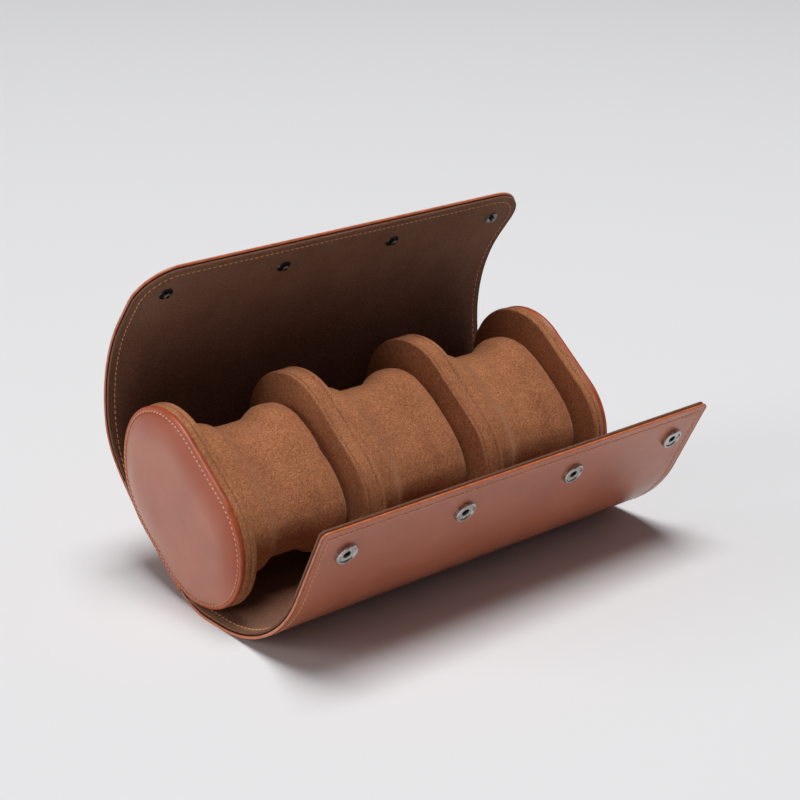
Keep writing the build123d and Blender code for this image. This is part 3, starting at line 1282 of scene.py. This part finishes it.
# ---------------------------------------------------------------- ovals
class Oval:
    """Rings of the oval's outline in the tilted frame of the row."""

    ARC = 36
    SIDE = 12
    NAP_SIZE = 9 * MM

    def __init__(self, section: Section) -> None:
        """Keep the section.

        Args:
            section: Section of the case.
        """
        self.section = section
        self.sizes = section.sizes

    def angles(self) -> list[float]:
        """Directions of the points of one round end.

        Returns:
            Angles from -90 to 90 degrees, in radians.
        """
        return [math.pi * (k / self.ARC) - math.pi / 2 for k in range(self.ARC + 1)]

    def walk(self) -> list[tuple[float, float, float]]:
        """Points round the outline as a place on the centre line and an outward direction.

        Returns:
            For each point the place and the direction's two parts.
        """
        straight = self.sizes.straight
        made = []
        for side in (1, -1):
            for angle in self.angles():
                made.append((side * straight, side * math.cos(angle), side * math.sin(angle)))
            for k in range(1, self.SIDE):
                made.append((side * straight * (1 - 2 * k / self.SIDE), 0.0, float(side)))
        return made

    def point(self, x: float, long: float, short: float) -> Vector:
        """Point in space from coordinates along the case, the long and the short axis.

        Args:
            x: Along the case.
            long: Along the oval.
            short: Across the oval, towards its open side.

        Returns:
            The point.
        """
        flat = self.section.middle + self.section.along * long + self.section.across * short
        return Vector((x, flat.x, flat.y))

    def ring(self, x: float, inset: float) -> list[Vector]:
        """Outline moved inwards.

        Args:
            x: Along the case.
            inset: How far in.

        Returns:
            The ring's points.
        """
        share = 1 - inset / self.sizes.radius
        ring = []
        for long, out_long, out_short in self.walk():
            reach = self.reach(long, out_long, out_short, inset) * share
            ring.append(self.point(x, long + out_long * reach, out_short * reach))
        return ring

    def reach(self, long: float, out_long: float, out_short: float, inset: float) -> float:
        """Distance from the centre line to the outline.

        Args:
            long: Place on the centre line.
            out_long: Outward direction along the oval.
            out_short: Outward direction across it.
            inset: How far inwards the ring lies that this is for.

        Returns:
            The distance.
        """
        return self.sizes.radius

    def body(
        self,
        stations: Sequence[Station],
        kinds: Sequence[int] | None = None,
        wobble: float = 0.0,
    ) -> Solid:
        """Make a closed body from stations along the case.

        Args:
            stations: Place and inset of each ring, from one closed end to the other.
            kinds: Material between rings.
            wobble: Height of small irregularities.

        Returns:
            The solid.
        """
        solid = Solid()
        rings = []
        for x, inset in stations:
            ring = []
            for p in self.ring(x, inset):
                if wobble:
                    p = p + noise.noise_vector(p / self.NAP_SIZE) * wobble
                height = (p.yz - self.section.middle).dot(self.section.across)
                ring.append(solid.add(p, (inset, height)))
            rings.append(ring)
        for number, (first, second) in enumerate(zip(rings, rings[1:])):
            kind = kinds[number] if kinds else 0
            solid.bridge(second, first, kind, closed=True)
        return solid

    def seam(
        self, solid: Solid, stitch: Stitch, x: float, inset: float, facing: Vector | None
    ) -> None:
        """Sew a row of stitches round the outline.

        Args:
            solid: Where the stitches go.
            stitch: The stitch.
            x: Along the case.
            inset: Distance in from the outline.
            facing: Out of the surface, or None for the rim's own outward direction.
        """
        ring = self.ring(x, inset)
        lengths = [(b - a).length for a, b in zip(ring, ring[1:] + ring[:1])]
        total = sum(lengths)
        count = round(total / stitch.pitch)
        walked, k = 0.0, 0
        marks = [(n + 0.5) * total / count for n in range(count)]
        for a, b, length in zip(ring, ring[1:] + ring[:1], lengths):
            while k < count and marks[k] <= walked + length:
                where = a.lerp(b, (marks[k] - walked) / max(length, TINY * MM))
                way = (b - a).normalized()
                out = facing if facing is not None else way.cross(Vector((1, 0, 0)))
                stitch.sew(solid, where, way, out.normalized(), k)
                k += 1
            walked += length


class LappedOval(Oval):
    """The caps' leather: the oval with the lap under its straight side."""

    ARC = 48
    NOTCH_WIDTH = 0.004  # radians, between the two points at the notch
    FULLER = 1.5 * MM  # the leather is so much fuller past the notch
    FULLER_TO = math.radians(58)  # and runs back to the oval up to here
    SOFT = 9.0 * MM  # further in, the notch eases over this length
    SHARP_TO = 0.9 * MM  # rings up to this inset have the sharp notch
    SOFT_FROM = 2.0 * MM  # and from this inset on the eased one

    def __init__(self, section: Section) -> None:
        """Work the lap out.

        Args:
            section: Section of the case.
        """
        super().__init__(section)
        sizes = self.sizes
        self.edge = sizes.radius + sizes.lap_drop
        self.stop = sizes.straight - sizes.lap_reach
        self.turn = sizes.straight - sizes.lap_ease
        self.more = (sizes.lap_ease**2 + sizes.lap_drop**2) / (2 * sizes.lap_drop)
        self.notch = math.atan2(-sizes.straight - self.stop, self.edge)

    def angles(self) -> list[float]:
        """Directions of the points of one round end, with two at the notch.

        Returns:
            Angles from -90 to 90 degrees, in radians.
        """
        notch = math.pi / 2 - self.notch
        return sorted(super().angles() + [notch - self.NOTCH_WIDTH, notch + self.NOTCH_WIDTH])

    def reach(self, long: float, out_long: float, out_short: float, inset: float) -> float:
        """Distance from the centre line to the outline.

        Args:
            long: Place on the centre line.
            out_long: Outward direction along the oval.
            out_short: Outward direction across it.
            inset: How far inwards the ring lies that this is for.

        Returns:
            The distance.
        """
        radius = self.sizes.radius
        if out_short >= -TINY or out_long > self.sizes.lap_ease / self.more:
            return radius
        along = long + out_long * self.edge / -out_short
        angle = math.atan2(-out_long, -out_short)
        full = self.FULLER * (1 - smooth((angle - self.notch) / (self.FULLER_TO - self.notch)))
        if along < self.stop:
            return radius + full
        if along <= self.turn:
            lap = self.edge / -out_short
        else:
            large = radius + self.more
            off = long - self.turn
            under = large - self.edge
            half = off * out_long - under * out_short
            lap = -half + math.sqrt(half * half - off * off - under**2 + large * large)
        share = smooth((along - self.stop) / self.SOFT)
        softer = (radius + self.FULLER) * (1 - share) + lap * share
        ease = smooth((inset - self.SHARP_TO) / (self.SOFT_FROM - self.SHARP_TO))
        return lap + (softer - lap) * ease


@dataclass(frozen=True)
class RowSizes:
    """Sizes of caps and dividers, in metres."""

    cap_leather: float = 4.3 * MM  # thickness of the leather end at its rim
    cap_swell: float = 0.4 * MM  # how far the padded field stands out over the CAD's crown
    cap_crown: float = 0.2 * MM  # middle of the leather end over its padded field
    cap_puff: float = 2.0 * MM  # height of that field over the seam
    cap_puff_from: float = 2.4 * MM  # inset where it starts to rise
    cap_puff_to: float = 16.0 * MM  # inset where it is full
    cap_puff_power: float = 2.2
    cap_seam: float = 2.1 * MM  # inset of the seam
    cap_seam_depth: float = 0.12 * MM
    cap_seam_width: float = 0.55 * MM
    rim_round: float = 0.9 * MM  # rounding of the drums' rims
    seam_width: float = 0.38 * MM
    seam_depth: float = 0.62 * MM
    turned: float = 0.18 * MM  # height of a band's turned edge beside its seam
    turned_power: float = 0.6
    band_step: float = 0.22 * MM  # between the rings of a band
    band_crown: float = 0.05 * MM
    left_seam: float = 1.6 * MM  # from a divider's left face
    right_seam: float = 2.7 * MM  # from its right face
    cap_band_seam: float = 3.0 * MM  # from a cap's inner face
    thread_sink: float = 0.75  # of the seam's depth, where the drums' thread lies
    nap: float = 0.1 * MM


class RowOfBays:
    """Caps and dividers."""

    SHARES = (0.36, 0.5, 0.64, 0.78, 0.9, 0.999)  # of a flat face, from its rim inwards
    FIELD_SHARES = (0.999, 0.85, 0.72, 0.62, 0.54, 0.48, 0.42, 0.36, 0.31)  # of the ovals' radius
    FIELD_INSETS = (8.5, 7.2, 6, 5, 4.2, 3.5, 3, 2.7, 2.45, 2.25, 2.1, 1.95)  # millimetres
    EDGE_INSETS = (1.75, 1.5, 1.2, 0.9)  # millimetres, where the burnished edge is
    EDGE_STEPS = 10
    EDGE_POWER = 0.8
    CROWN_AT_SEAM = 0.87  # share of the crown's height that is lost at the seam
    BAND_STITCH = Stitch(
        pitch=2.1 * MM, length=1.45 * MM, thickness=0.15 * MM, rise=0.04 * MM, slant=2.0
    )
    CAP_STITCH = Stitch(
        pitch=2.35 * MM, length=1.7 * MM, thickness=0.34 * MM, rise=0.24 * MM, slant=16.0
    )

    def __init__(self, section: Section, palette: Palette, sizes: RowSizes) -> None:
        """Keep what they are made from.

        Args:
            section: Section of the case.
            palette: Materials.
            sizes: Their sizes.
        """
        self.oval = Oval(section)
        self.lapped = LappedOval(section)
        self.palette = palette
        self.sizes = sizes

    def rim(self, place: float, towards: int, steps: int = 5) -> list[Station]:
        """Quarter-round between a face and a band.

        Args:
            place: Where the face lies, along the case.
            towards: 1 where the face looks to +X, -1 to -X.
            steps: Number of steps.

        Returns:
            Stations from the face to the band.
        """
        radius = self.sizes.rim_round
        made = []
        for k in range(steps + 1):
            angle = math.pi / 2 * k / steps
            away, inset = radius * (1 - math.cos(angle)), radius * (1 - math.sin(angle))
            made.append((place - towards * away, inset))
        return made

    def face(self, place: float, start: float) -> list[Station]:
        """Stations of a flat face.

        Args:
            place: Where it lies, along the case.
            start: Inset of its rim.

        Returns:
            Stations from the rim to the middle.
        """
        radius = self.oval.sizes.radius
        return [(place, start + (radius - start) * share) for share in self.SHARES]

    def drum(self, low: float, high: float, seams: Sequence[tuple[float, int]]) -> Solid:
        """Make a suede drum: band with seams and turned edges, rounded rims and closed faces.

        Args:
            low: Its lower end along the case.
            high: Its upper end.
            seams: Place of each seam, and which way its turned edge lies, 0 for none.

        Returns:
            The solid.
        """
        sizes = self.sizes
        left, right = low + sizes.rim_round, high - sizes.rim_round
        count = max(8, round((right - left) / sizes.band_step))
        band = []
        for k in range(1, count):
            x = left + (right - left) * k / count
            height = sizes.band_crown * (1 - (2 * k / count - 1) ** 2)
            for seam, way in seams:
                off = (x - seam) / sizes.seam_width
                height -= sizes.seam_depth * math.exp(-off * off)
                end = high if way > 0 else low
                if way and (x - seam) * way > 0:
                    share = min((x - seam) / (end - seam), 1.0)
                    height += sizes.turned * math.sin(math.pi * share) ** sizes.turned_power
            band.append((x, -height))
        start = self.face(low, sizes.rim_round)[::-1] + self.rim(low, -1)
        stop = self.rim(high, 1)[::-1] + self.face(high, sizes.rim_round)
        return self.oval.body(start + band + stop, wobble=sizes.nap)

    def divider(self, number: int) -> None:
        """Make a divider over its CAD nodes.

        Args:
            number: 1 or 2.
        """
        name, sizes = f"divider_{number}", self.sizes
        low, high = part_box(f"{name}_left_face")[0].x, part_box(f"{name}_right_face")[1].x
        seams = ((low + sizes.left_seam, 0), (high - sizes.right_seam, 1))
        piece = self.drum(low, high, seams).build(f"{name}_suede", (self.palette.suede,))
        thread = Solid()
        for x, _ in seams:
            self.oval.seam(thread, self.BAND_STITCH, x, sizes.seam_depth * sizes.thread_sink, None)
        sewn = thread.build(f"{name}_thread", (self.palette.seam_thread,))
        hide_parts(*(f"{name}_{part}" for part in ("left_face", "band", "right_face")))
        for made in (piece, sewn):
            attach(made, "base")
        log.info("%s: %d faces", name, len(piece.data.polygons))

    def cap_profile(
        self, outer: float, back: float, sign: int
    ) -> tuple[list[Station], list[int]]:
        """Stations of a cap's leather end, from the middle of its face to the middle of its back.

        Args:
            outer: Where the middle of the face lies.
            back: Where its back lies.
            sign: -1 for the left cap, 1 for the right.

        Returns:
            The stations, and the material between each two.
        """
        sizes = self.sizes
        radius = self.oval.sizes.radius
        insets = [radius * share for share in self.FIELD_SHARES]
        insets += [inset * MM for inset in self.FIELD_INSETS + self.EDGE_INSETS]
        stations = []
        for inset in insets:
            drop = sizes.cap_crown * (1 - inset / radius) ** 2
            away = (inset - sizes.cap_puff_from) / (sizes.cap_puff_to - sizes.cap_puff_from)
            drop += sizes.cap_puff * (1 - min(max(away, 0.0), 1.0)) ** sizes.cap_puff_power
            off = (inset - sizes.cap_seam) / sizes.cap_seam_width
            drop += sizes.cap_seam_depth * math.exp(-off * off)
            stations.append((outer - sign * drop, inset))
        start_x, start_inset = stations[-1]
        thick = abs(back - start_x)
        edge = []
        for k in range(1, self.EDGE_STEPS):
            angle = math.pi * k / self.EDGE_STEPS
            x = start_x - sign * thick * (1 - math.cos(angle)) / 2
            edge.append((x, start_inset - start_inset * math.sin(angle) ** self.EDGE_POWER))
        edge.append((back, start_inset * 0.6))
        made = stations + edge + self.face(back, 2 * start_inset)
        first, last = len(stations) - len(self.EDGE_INSETS), len(stations) + len(edge)
        return made, [1 if first <= k < last else 0 for k in range(len(made) - 1)]

    def cap(self, side: str) -> None:
        """Make an end cap over its CAD nodes.

        Args:
            side: left or right.
        """
        sizes, name = self.sizes, f"{side}_cap"
        sign = -1 if side == "left" else 1
        pick = 0 if sign < 0 else 1
        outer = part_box(f"{name}_leather")[pick].x
        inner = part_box(f"{name}_inner_face")[1 - pick].x
        back = outer - sign * sizes.cap_leather
        outer += sign * sizes.cap_swell
        stations, kinds = self.cap_profile(outer, back, sign)
        solid = self.lapped.body(stations, kinds)
        if sign > 0:
            solid.faces = [face[::-1] for face in solid.faces]
        finishes = (self.palette.cap_leather, self.palette.cap_edge)
        leather = solid.build(f"{name}_leather_face", finishes)
        low, high = sorted((back, inner))
        seam = inner + sign * sizes.cap_band_seam
        drum = self.drum(low, high, ((seam, -sign),)).build(f"{name}_suede", (self.palette.suede,))
        thread, band_thread = Solid(), Solid()
        crown = sizes.cap_crown * self.CROWN_AT_SEAM
        floor = outer - sign * (sizes.cap_puff + sizes.cap_seam_depth + crown)
        self.lapped.seam(thread, self.CAP_STITCH, floor, sizes.cap_seam, Vector((sign, 0, 0)))
        sink = sizes.seam_depth * sizes.thread_sink
        self.oval.seam(band_thread, self.BAND_STITCH, seam, sink, None)
        sewn = thread.build(f"{name}_thread", (self.palette.thread,))
        band_sewn = band_thread.build(f"{name}_band_thread", (self.palette.seam_thread,))
        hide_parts(f"{name}_leather")
        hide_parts(f"{name}_band", f"{name}_inner_face")
        outer_pieces = ((leather, Slot.LEATHER), (sewn, Slot.LEATHER))
        inner_pieces = ((drum, Slot.SUEDE), (band_sewn, Slot.SUEDE))
        for made, slot in outer_pieces + inner_pieces:
            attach(made, "base")
        log.info("%s: %d faces", name, len(leather.data.polygons) + len(drum.data.polygons))

    def build(self) -> None:
        """Make both caps and both dividers."""
        for side in ("left", "right"):
            self.cap(side)
        for number in (1, 2):
            self.divider(number)


# ---------------------------------------------------------------- fasteners
@dataclass(frozen=True)
class Wells:
    """Black metal dishes at the floors of the sockets, over the flap's leather: painted shade for
    the dark inside of the bores.
    """

    count: int = 4
    from_end: float = 16.4 * MM  # of the case
    from_edge: float = 16.3 * MM  # of the flap
    radius: float = 3.25 * MM
    rise: float = 0.15 * MM  # over the leather
    dish: float = 0.12 * MM
    sides: int = 40
    profile: tuple[tuple[float, float], ...] = (  # share of the radius, share of the dish
        (1.0, -0.4),
        (1.0, 0.5),
        (0.93, 1.0),
        (0.7, 0.7),
        (0.4, 0.3),
        (0.02, 0.0),
    )

    def build(self, section: Section, palette: Palette) -> None:
        """Make them as one piece on the flap's front panel.

        Args:
            section: Section of the case.
            palette: Materials.
        """
        solid, sizes = Solid(), section.sizes
        pitch = 2 * (sizes.half_width - self.from_end) / (self.count - 1)
        for number in range(self.count):
            x = -sizes.half_width + self.from_end + number * pitch
            u = section.flap.length - self.from_edge
            rings = []
            for share, lift in self.profile:
                reach, depth = self.radius * share, sizes.total + self.rise + self.dish * lift
                ring = []
                for k in range(self.sides):
                    angle = 2 * math.pi * k / self.sides
                    across, along = reach * math.cos(angle), reach * math.sin(angle)
                    ring.append(solid.add(section.flap.surface(x + across, u + along, depth)))
                rings.append(ring)
            for first, second in zip(rings, rings[1:]):
                solid.bridge(first, second, closed=True)
        # painted shade: the black metal stands for the shade down in the sockets' bores
        wells = solid.build("snap_wells", (palette.black_nickel_and_bore_shade,))
        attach(wells, "flap_front")
        log.info("socket wells: %d", self.count)


# ---------------------------------------------------------------- cushions
@dataclass(frozen=True)
class CushionSizes:
    """Form of a cushion before it is inflated, in metres, and how it is inflated."""

    long: float = 72.0 * MM
    short: float = 46.0 * MM
    forward: float = 1.5 * MM  # its middle lies so far to the front of the oval's
    power: float = 2.5  # of the section's superellipse
    waist: float = 4.2 * MM  # depth of the worn middle
    waist_half: float = 10.0 * MM  # half its length
    shoulder: float = 15.0 * MM  # from the middle to where the cushion is full again
    end_round: float = 7.0 * MM  # the ends draw in over this length
    end_inset: float = 5.0 * MM  # and by this much
    rings: int = 57
    sides: int = 96
    voxel: float = 3.4 * MM
    held_share: float = 0.8  # of the waist's half length, which the simulation leaves alone
    quality: int = 6
    pressure: float = 3.2
    tension: float = 18
    compression: float = 12
    bending: float = 0.6
    most_swell: float = 3.0 * MM
    frames: int = 16


class Cushion:
    """The three cushions: lofted, remeshed and inflated as cloth."""

    def __init__(self, oval: Oval, palette: Palette, sizes: CushionSizes) -> None:
        """Keep what they are made from.

        Args:
            oval: The row's tilted frame.
            palette: Materials.
            sizes: Their form.
        """
        self.oval = oval
        self.palette = palette
        self.sizes = sizes

    def inset_at(self, place: float, half: float) -> float:
        """How far the cushion's skin lies inside its fullest outline.

        Args:
            place: Distance from its middle along the case.
            half: Half its length.

        Returns:
            The inset.
        """
        sizes, away = self.sizes, abs(place)
        inset = 0.0
        if away < sizes.shoulder:
            low, high = sizes.waist_half, sizes.shoulder
            inset = sizes.waist * (1 - smooth((away - low) / (high - low)))
        elif away > half - sizes.end_round:
            t = (away - (half - sizes.end_round)) / sizes.end_round
            inset = sizes.end_inset * (1 - math.sqrt(max(1 - t * t, 0.0)))
        return inset

    def form(self, name: str, middle: float, half: float) -> bpy.types.Object:
        """Loft the cushion's form.

        Args:
            name: Its name.
            middle: Its middle along the case.
            half: Half its length.

        Returns:
            The object.
        """
        sizes, solid = self.sizes, Solid()
        power = 2 / sizes.power
        rings = []
        for place in list(np.linspace(-half, half, sizes.rings)):
            inset = self.inset_at(place, half)
            ring = []
            for k in range(sizes.sides):
                angle = 2 * math.pi * k / sizes.sides
                c, s = math.cos(angle), math.sin(angle)
                long = (sizes.long / 2 - inset) * math.copysign(abs(c) ** power, c) - sizes.forward
                short = (sizes.short / 2 - inset) * math.copysign(abs(s) ** power, s)
                ring.append(solid.add(self.oval.point(middle + place, long, short)))
            rings.append(ring)
        for first, second in zip(rings, rings[1:]):
            solid.bridge(second, first, closed=True)
        solid.face(rings[0])
        solid.face(rings[-1][::-1])
        return solid.build(name, (self.palette.suede,))

    def inflate(self, piece: bpy.types.Object, middle: float) -> None:
        """Remesh, swell by cloth pressure and hold the swelling to its most.

        Args:
            piece: The cushion's form, changed in place.
            middle: Its middle along the case.
        """
        sizes = self.sizes
        bpy.context.view_layer.objects.active = piece
        remesh = piece.modifiers.new("Remesh", "REMESH")
        remesh.mode = "VOXEL"
        remesh.voxel_size = sizes.voxel
        remesh.use_smooth_shade = True
        bpy.ops.object.modifier_apply(modifier="Remesh")
        group = piece.vertex_groups.new(name="held")
        for vertex in piece.data.vertices:
            away = abs(vertex.co.x - middle)
            hold = 1.0 if away < sizes.waist_half * sizes.held_share else 0.0
            group.add([vertex.index], hold, "REPLACE")
        before = np.array([v.co for v in piece.data.vertices])
        cloth = piece.modifiers.new("Cloth", "CLOTH")
        cloth.settings.quality = sizes.quality
        cloth.settings.use_pressure = True
        cloth.settings.uniform_pressure_force = sizes.pressure
        cloth.settings.tension_stiffness = sizes.tension
        cloth.settings.compression_stiffness = sizes.compression
        cloth.settings.bending_stiffness = sizes.bending
        cloth.settings.vertex_group_mass = "held"
        cloth.settings.effector_weights.gravity = 0
        scene = bpy.context.scene
        for number in range(1, sizes.frames + 1):
            scene.frame_set(number)
        evaluated = piece.evaluated_get(bpy.context.evaluated_depsgraph_get())
        after = np.array([v.co for v in evaluated.data.vertices])
        piece.modifiers.remove(cloth)
        scene.frame_set(1)
        shift = after - before
        reach = np.linalg.norm(shift, axis=1, keepdims=True)
        cap = np.minimum(1.0, sizes.most_swell / np.maximum(reach, TINY * MM))
        piece.data.vertices.foreach_set("co", (before + shift * cap).ravel())
        piece.data.update()
        log.info("%s swelled by up to %.1f mm", piece.name, float((reach * cap).max() / MM))

    def fit(self, piece: bpy.types.Object, middle: float, half: float) -> None:
        """Keep the cushion inside its bay: flat where it touches the dividers.

        Args:
            piece: The cushion.
            middle: Its middle along the case.
            half: Half its length.
        """
        for vertex in piece.data.vertices:
            vertex.co.x = min(max(vertex.co.x, middle - half), middle + half)

    def build(self) -> None:
        """Make the three cushions."""
        for number in (1, 2, 3):
            low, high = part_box(f"cushion_{number}_end_panels")
            middle, half = (low.x + high.x) / 2, (high.x - low.x) / 2
            piece = self.form(f"cushion_{number}_pad", middle, half)
            self.inflate(piece, middle)
            self.fit(piece, middle, half)
            finer = piece.modifiers.new("Smooth", "SUBSURF")
            finer.levels = finer.render_levels = 1
            parts = ("cover", "filling", "end_panels")
            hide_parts(*(f"cushion_{number}_{part}" for part in parts))
            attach(piece, f"cushion_{number}")
            log.info("cushion %d: %d faces", number, len(piece.data.polygons))


# ---------------------------------------------------------------- carried-over nodes
class Carried:
    """Finishes of the CAD nodes that show as they are."""

    def __init__(self, palette: Palette) -> None:
        """Keep the materials.

        Args:
            palette: Materials.
        """
        self.palette = palette

    def finish_for(self, node: str) -> bpy.types.Material:
        """Choose a node's material.

        Args:
            node: The CAD node's name.

        Returns:
            The material.
        """
        palette = self.palette
        named = {
            "snap_sockets": palette.nickel,
            "snap_socket_anchors": palette.black_nickel_and_bore_shade,
            "snap_springs": palette.spring,
            "snap_studs": palette.black_nickel_and_bore_shade,
            "snap_stud_anchors": palette.black_nickel_and_bore_shade,
        }
        if node in named:
            return named[node]
        if node.endswith("_filling"):
            return palette.foam
        if node.endswith(("_board", "_core")):
            return palette.board
        if node.endswith("_leather"):
            return palette.cap_leather
        return palette.suede

    def build(self) -> None:
        """Give every CAD node its material."""
        for name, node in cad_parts.items():
            node.data.materials.clear()
            node.data.materials.append(self.finish_for(name))
        log.info("carried-over nodes: %d", len(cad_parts))


# ---------------------------------------------------------------- studio
@dataclass(frozen=True)
class Studio:
    """Floor, light and camera."""

    floor_colour: Colour = (0.80, 0.80, 0.81)
    floor_size: float = 5.6
    floor_roughness: float = 0.9
    floor_gloss: float = 0.1
    sky_dark: Colour = (0.09, 0.09, 0.095)
    sky_left: Colour = (0.18, 0.185, 0.19)
    sky_fade: tuple[float, float] = (0.6, 0.95)  # from the right of the sky, at 0, to the left
    sky_seen: Colour = (0.66, 0.66, 0.67)  # behind the floor's far edge, seen by the camera only
    key_power: float = 176.0
    key_size: float = 2.2
    key_place: tuple[float, float, float] = (-0.05, -0.18, 4.5)
    key_aim: tuple[float, float, float] = (0, 0, 0.05)
    fill_power: float = 77.0
    fill_size: float = 2.6
    fill_place: tuple[float, float, float] = (-4.6, 2.2, 1.5)
    fill_aim: tuple[float, float, float] = (-0.1, 0, 0.05)
    camera_azimuth: float = -39.816
    camera_elevation: float = 21.105
    camera_from_ovals: tuple[float, float, float] = (-0.5100, -0.62936, 0.33562)
    lens: float = 85.5

    def floor(self) -> None:
        """Lay the floor."""
        half = self.floor_size / 2
        solid = Solid()
        corners = ((-half, -half), (half, -half), (half, half), (-half, half))
        solid.face([solid.add(Vector((x, y, 0.0))) for x, y in corners])
        graph = Graph("floor")
        graph.set(
            Base_Color=self.floor_colour,
            Roughness=self.floor_roughness,
            Specular_IOR_Level=self.floor_gloss,
        )
        solid.build("floor", (graph.material,))

    def world(self) -> None:
        """Set the sky's light: dim, and brighter from the left."""
        world = bpy.data.worlds.new("studio")
        bpy.context.scene.world = world
        world.use_nodes = True
        nodes, links = world.node_tree.nodes, world.node_tree.links
        towards = nodes.new("ShaderNodeTexCoord")
        parts = nodes.new("ShaderNodeSeparateXYZ")
        fade = nodes.new("ShaderNodeValToRGB")
        links.new(towards.outputs["Generated"], parts.inputs["Vector"])
        turned = nodes.new("ShaderNodeMapRange")
        for name, value in (("From Min", 1.0), ("From Max", -1.0)):
            turned.inputs[name].default_value = value
        links.new(parts.outputs["X"], turned.inputs["Value"])
        links.new(turned.outputs["Result"], fade.inputs["Fac"])
        colours = (self.sky_dark, self.sky_left)
        for element, place, colour in zip(fade.color_ramp.elements, self.sky_fade, colours):
            element.position, element.color = place, (*colour, 1)
        seen = nodes.new("ShaderNodeMix")
        seen.data_type = "RGBA"
        seen.inputs[7].default_value = (*self.sky_seen, 1)
        links.new(nodes.new("ShaderNodeLightPath").outputs["Is Camera Ray"], seen.inputs[0])
        links.new(fade.outputs["Color"], seen.inputs[6])
        links.new(seen.outputs[2], nodes["Background"].inputs["Color"])

    def lamp(
        self, name: str, place: Sequence[float], size: float, power: float, aim: Sequence[float]
    ) -> None:
        """Hang a soft lamp.

        Args:
            name: Its name.
            place: Where it is.
            size: Side of its square.
            power: Watts.
            aim: What it points at.
        """
        light = bpy.data.lights.new(name, "AREA")
        light.size = size
        light.energy = power
        lamp = bpy.data.objects.new(name, light)
        lamp.location = place
        lamp.rotation_euler = (Vector(aim) - Vector(place)).to_track_quat("-Z", "Y").to_euler()
        bpy.context.scene.collection.objects.link(lamp)

    def camera(self, section: Section) -> None:
        """Set the camera at the photograph's viewing angle.

        Args:
            section: Section of the case.
        """
        data = bpy.data.cameras.new("camera")
        data.lens = self.lens
        data.clip_start, data.clip_end = 0.01, 30
        camera = bpy.data.objects.new("camera", data)
        camera.location = Vector(self.camera_from_ovals) + Vector((0, *section.middle))
        a, e = math.radians(self.camera_azimuth), math.radians(self.camera_elevation)
        back = Vector((math.sin(a) * math.cos(e), -math.cos(a) * math.cos(e), math.sin(e)))
        camera.rotation_euler = (-back).to_track_quat("-Z", "Y").to_euler()
        bpy.context.scene.collection.objects.link(camera)
        bpy.context.scene.camera = camera

    def build(self, section: Section) -> None:
        """Make the studio.

        Args:
            section: Section of the case.
        """
        self.floor()
        self.world()
        self.lamp("key", self.key_place, self.key_size, self.key_power, self.key_aim)
        self.lamp("fill", self.fill_place, self.fill_size, self.fill_power, self.fill_aim)
        self.camera(section)
        bpy.context.scene.view_settings.view_transform = "Standard"
        log.info("studio: lamps of %.0f W and %.0f W", self.key_power, self.fill_power)


def main() -> None:
    """Build the scene."""
    logging.basicConfig(level=logging.INFO, format="%(message)s")
    noise.seed_set(NOISE_SEED)
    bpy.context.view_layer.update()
    palette = Palette()
    Carried(palette).build()
    section = Section(WrapSizes())
    Wrap(section, palette, Stitch()).build()
    RowOfBays(section, palette, RowSizes()).build()
    Wells().build(section, palette)
    Cushion(Oval(section), palette, CushionSizes()).build()
    Studio().build(section)


if __name__ == "__main__":
    main()
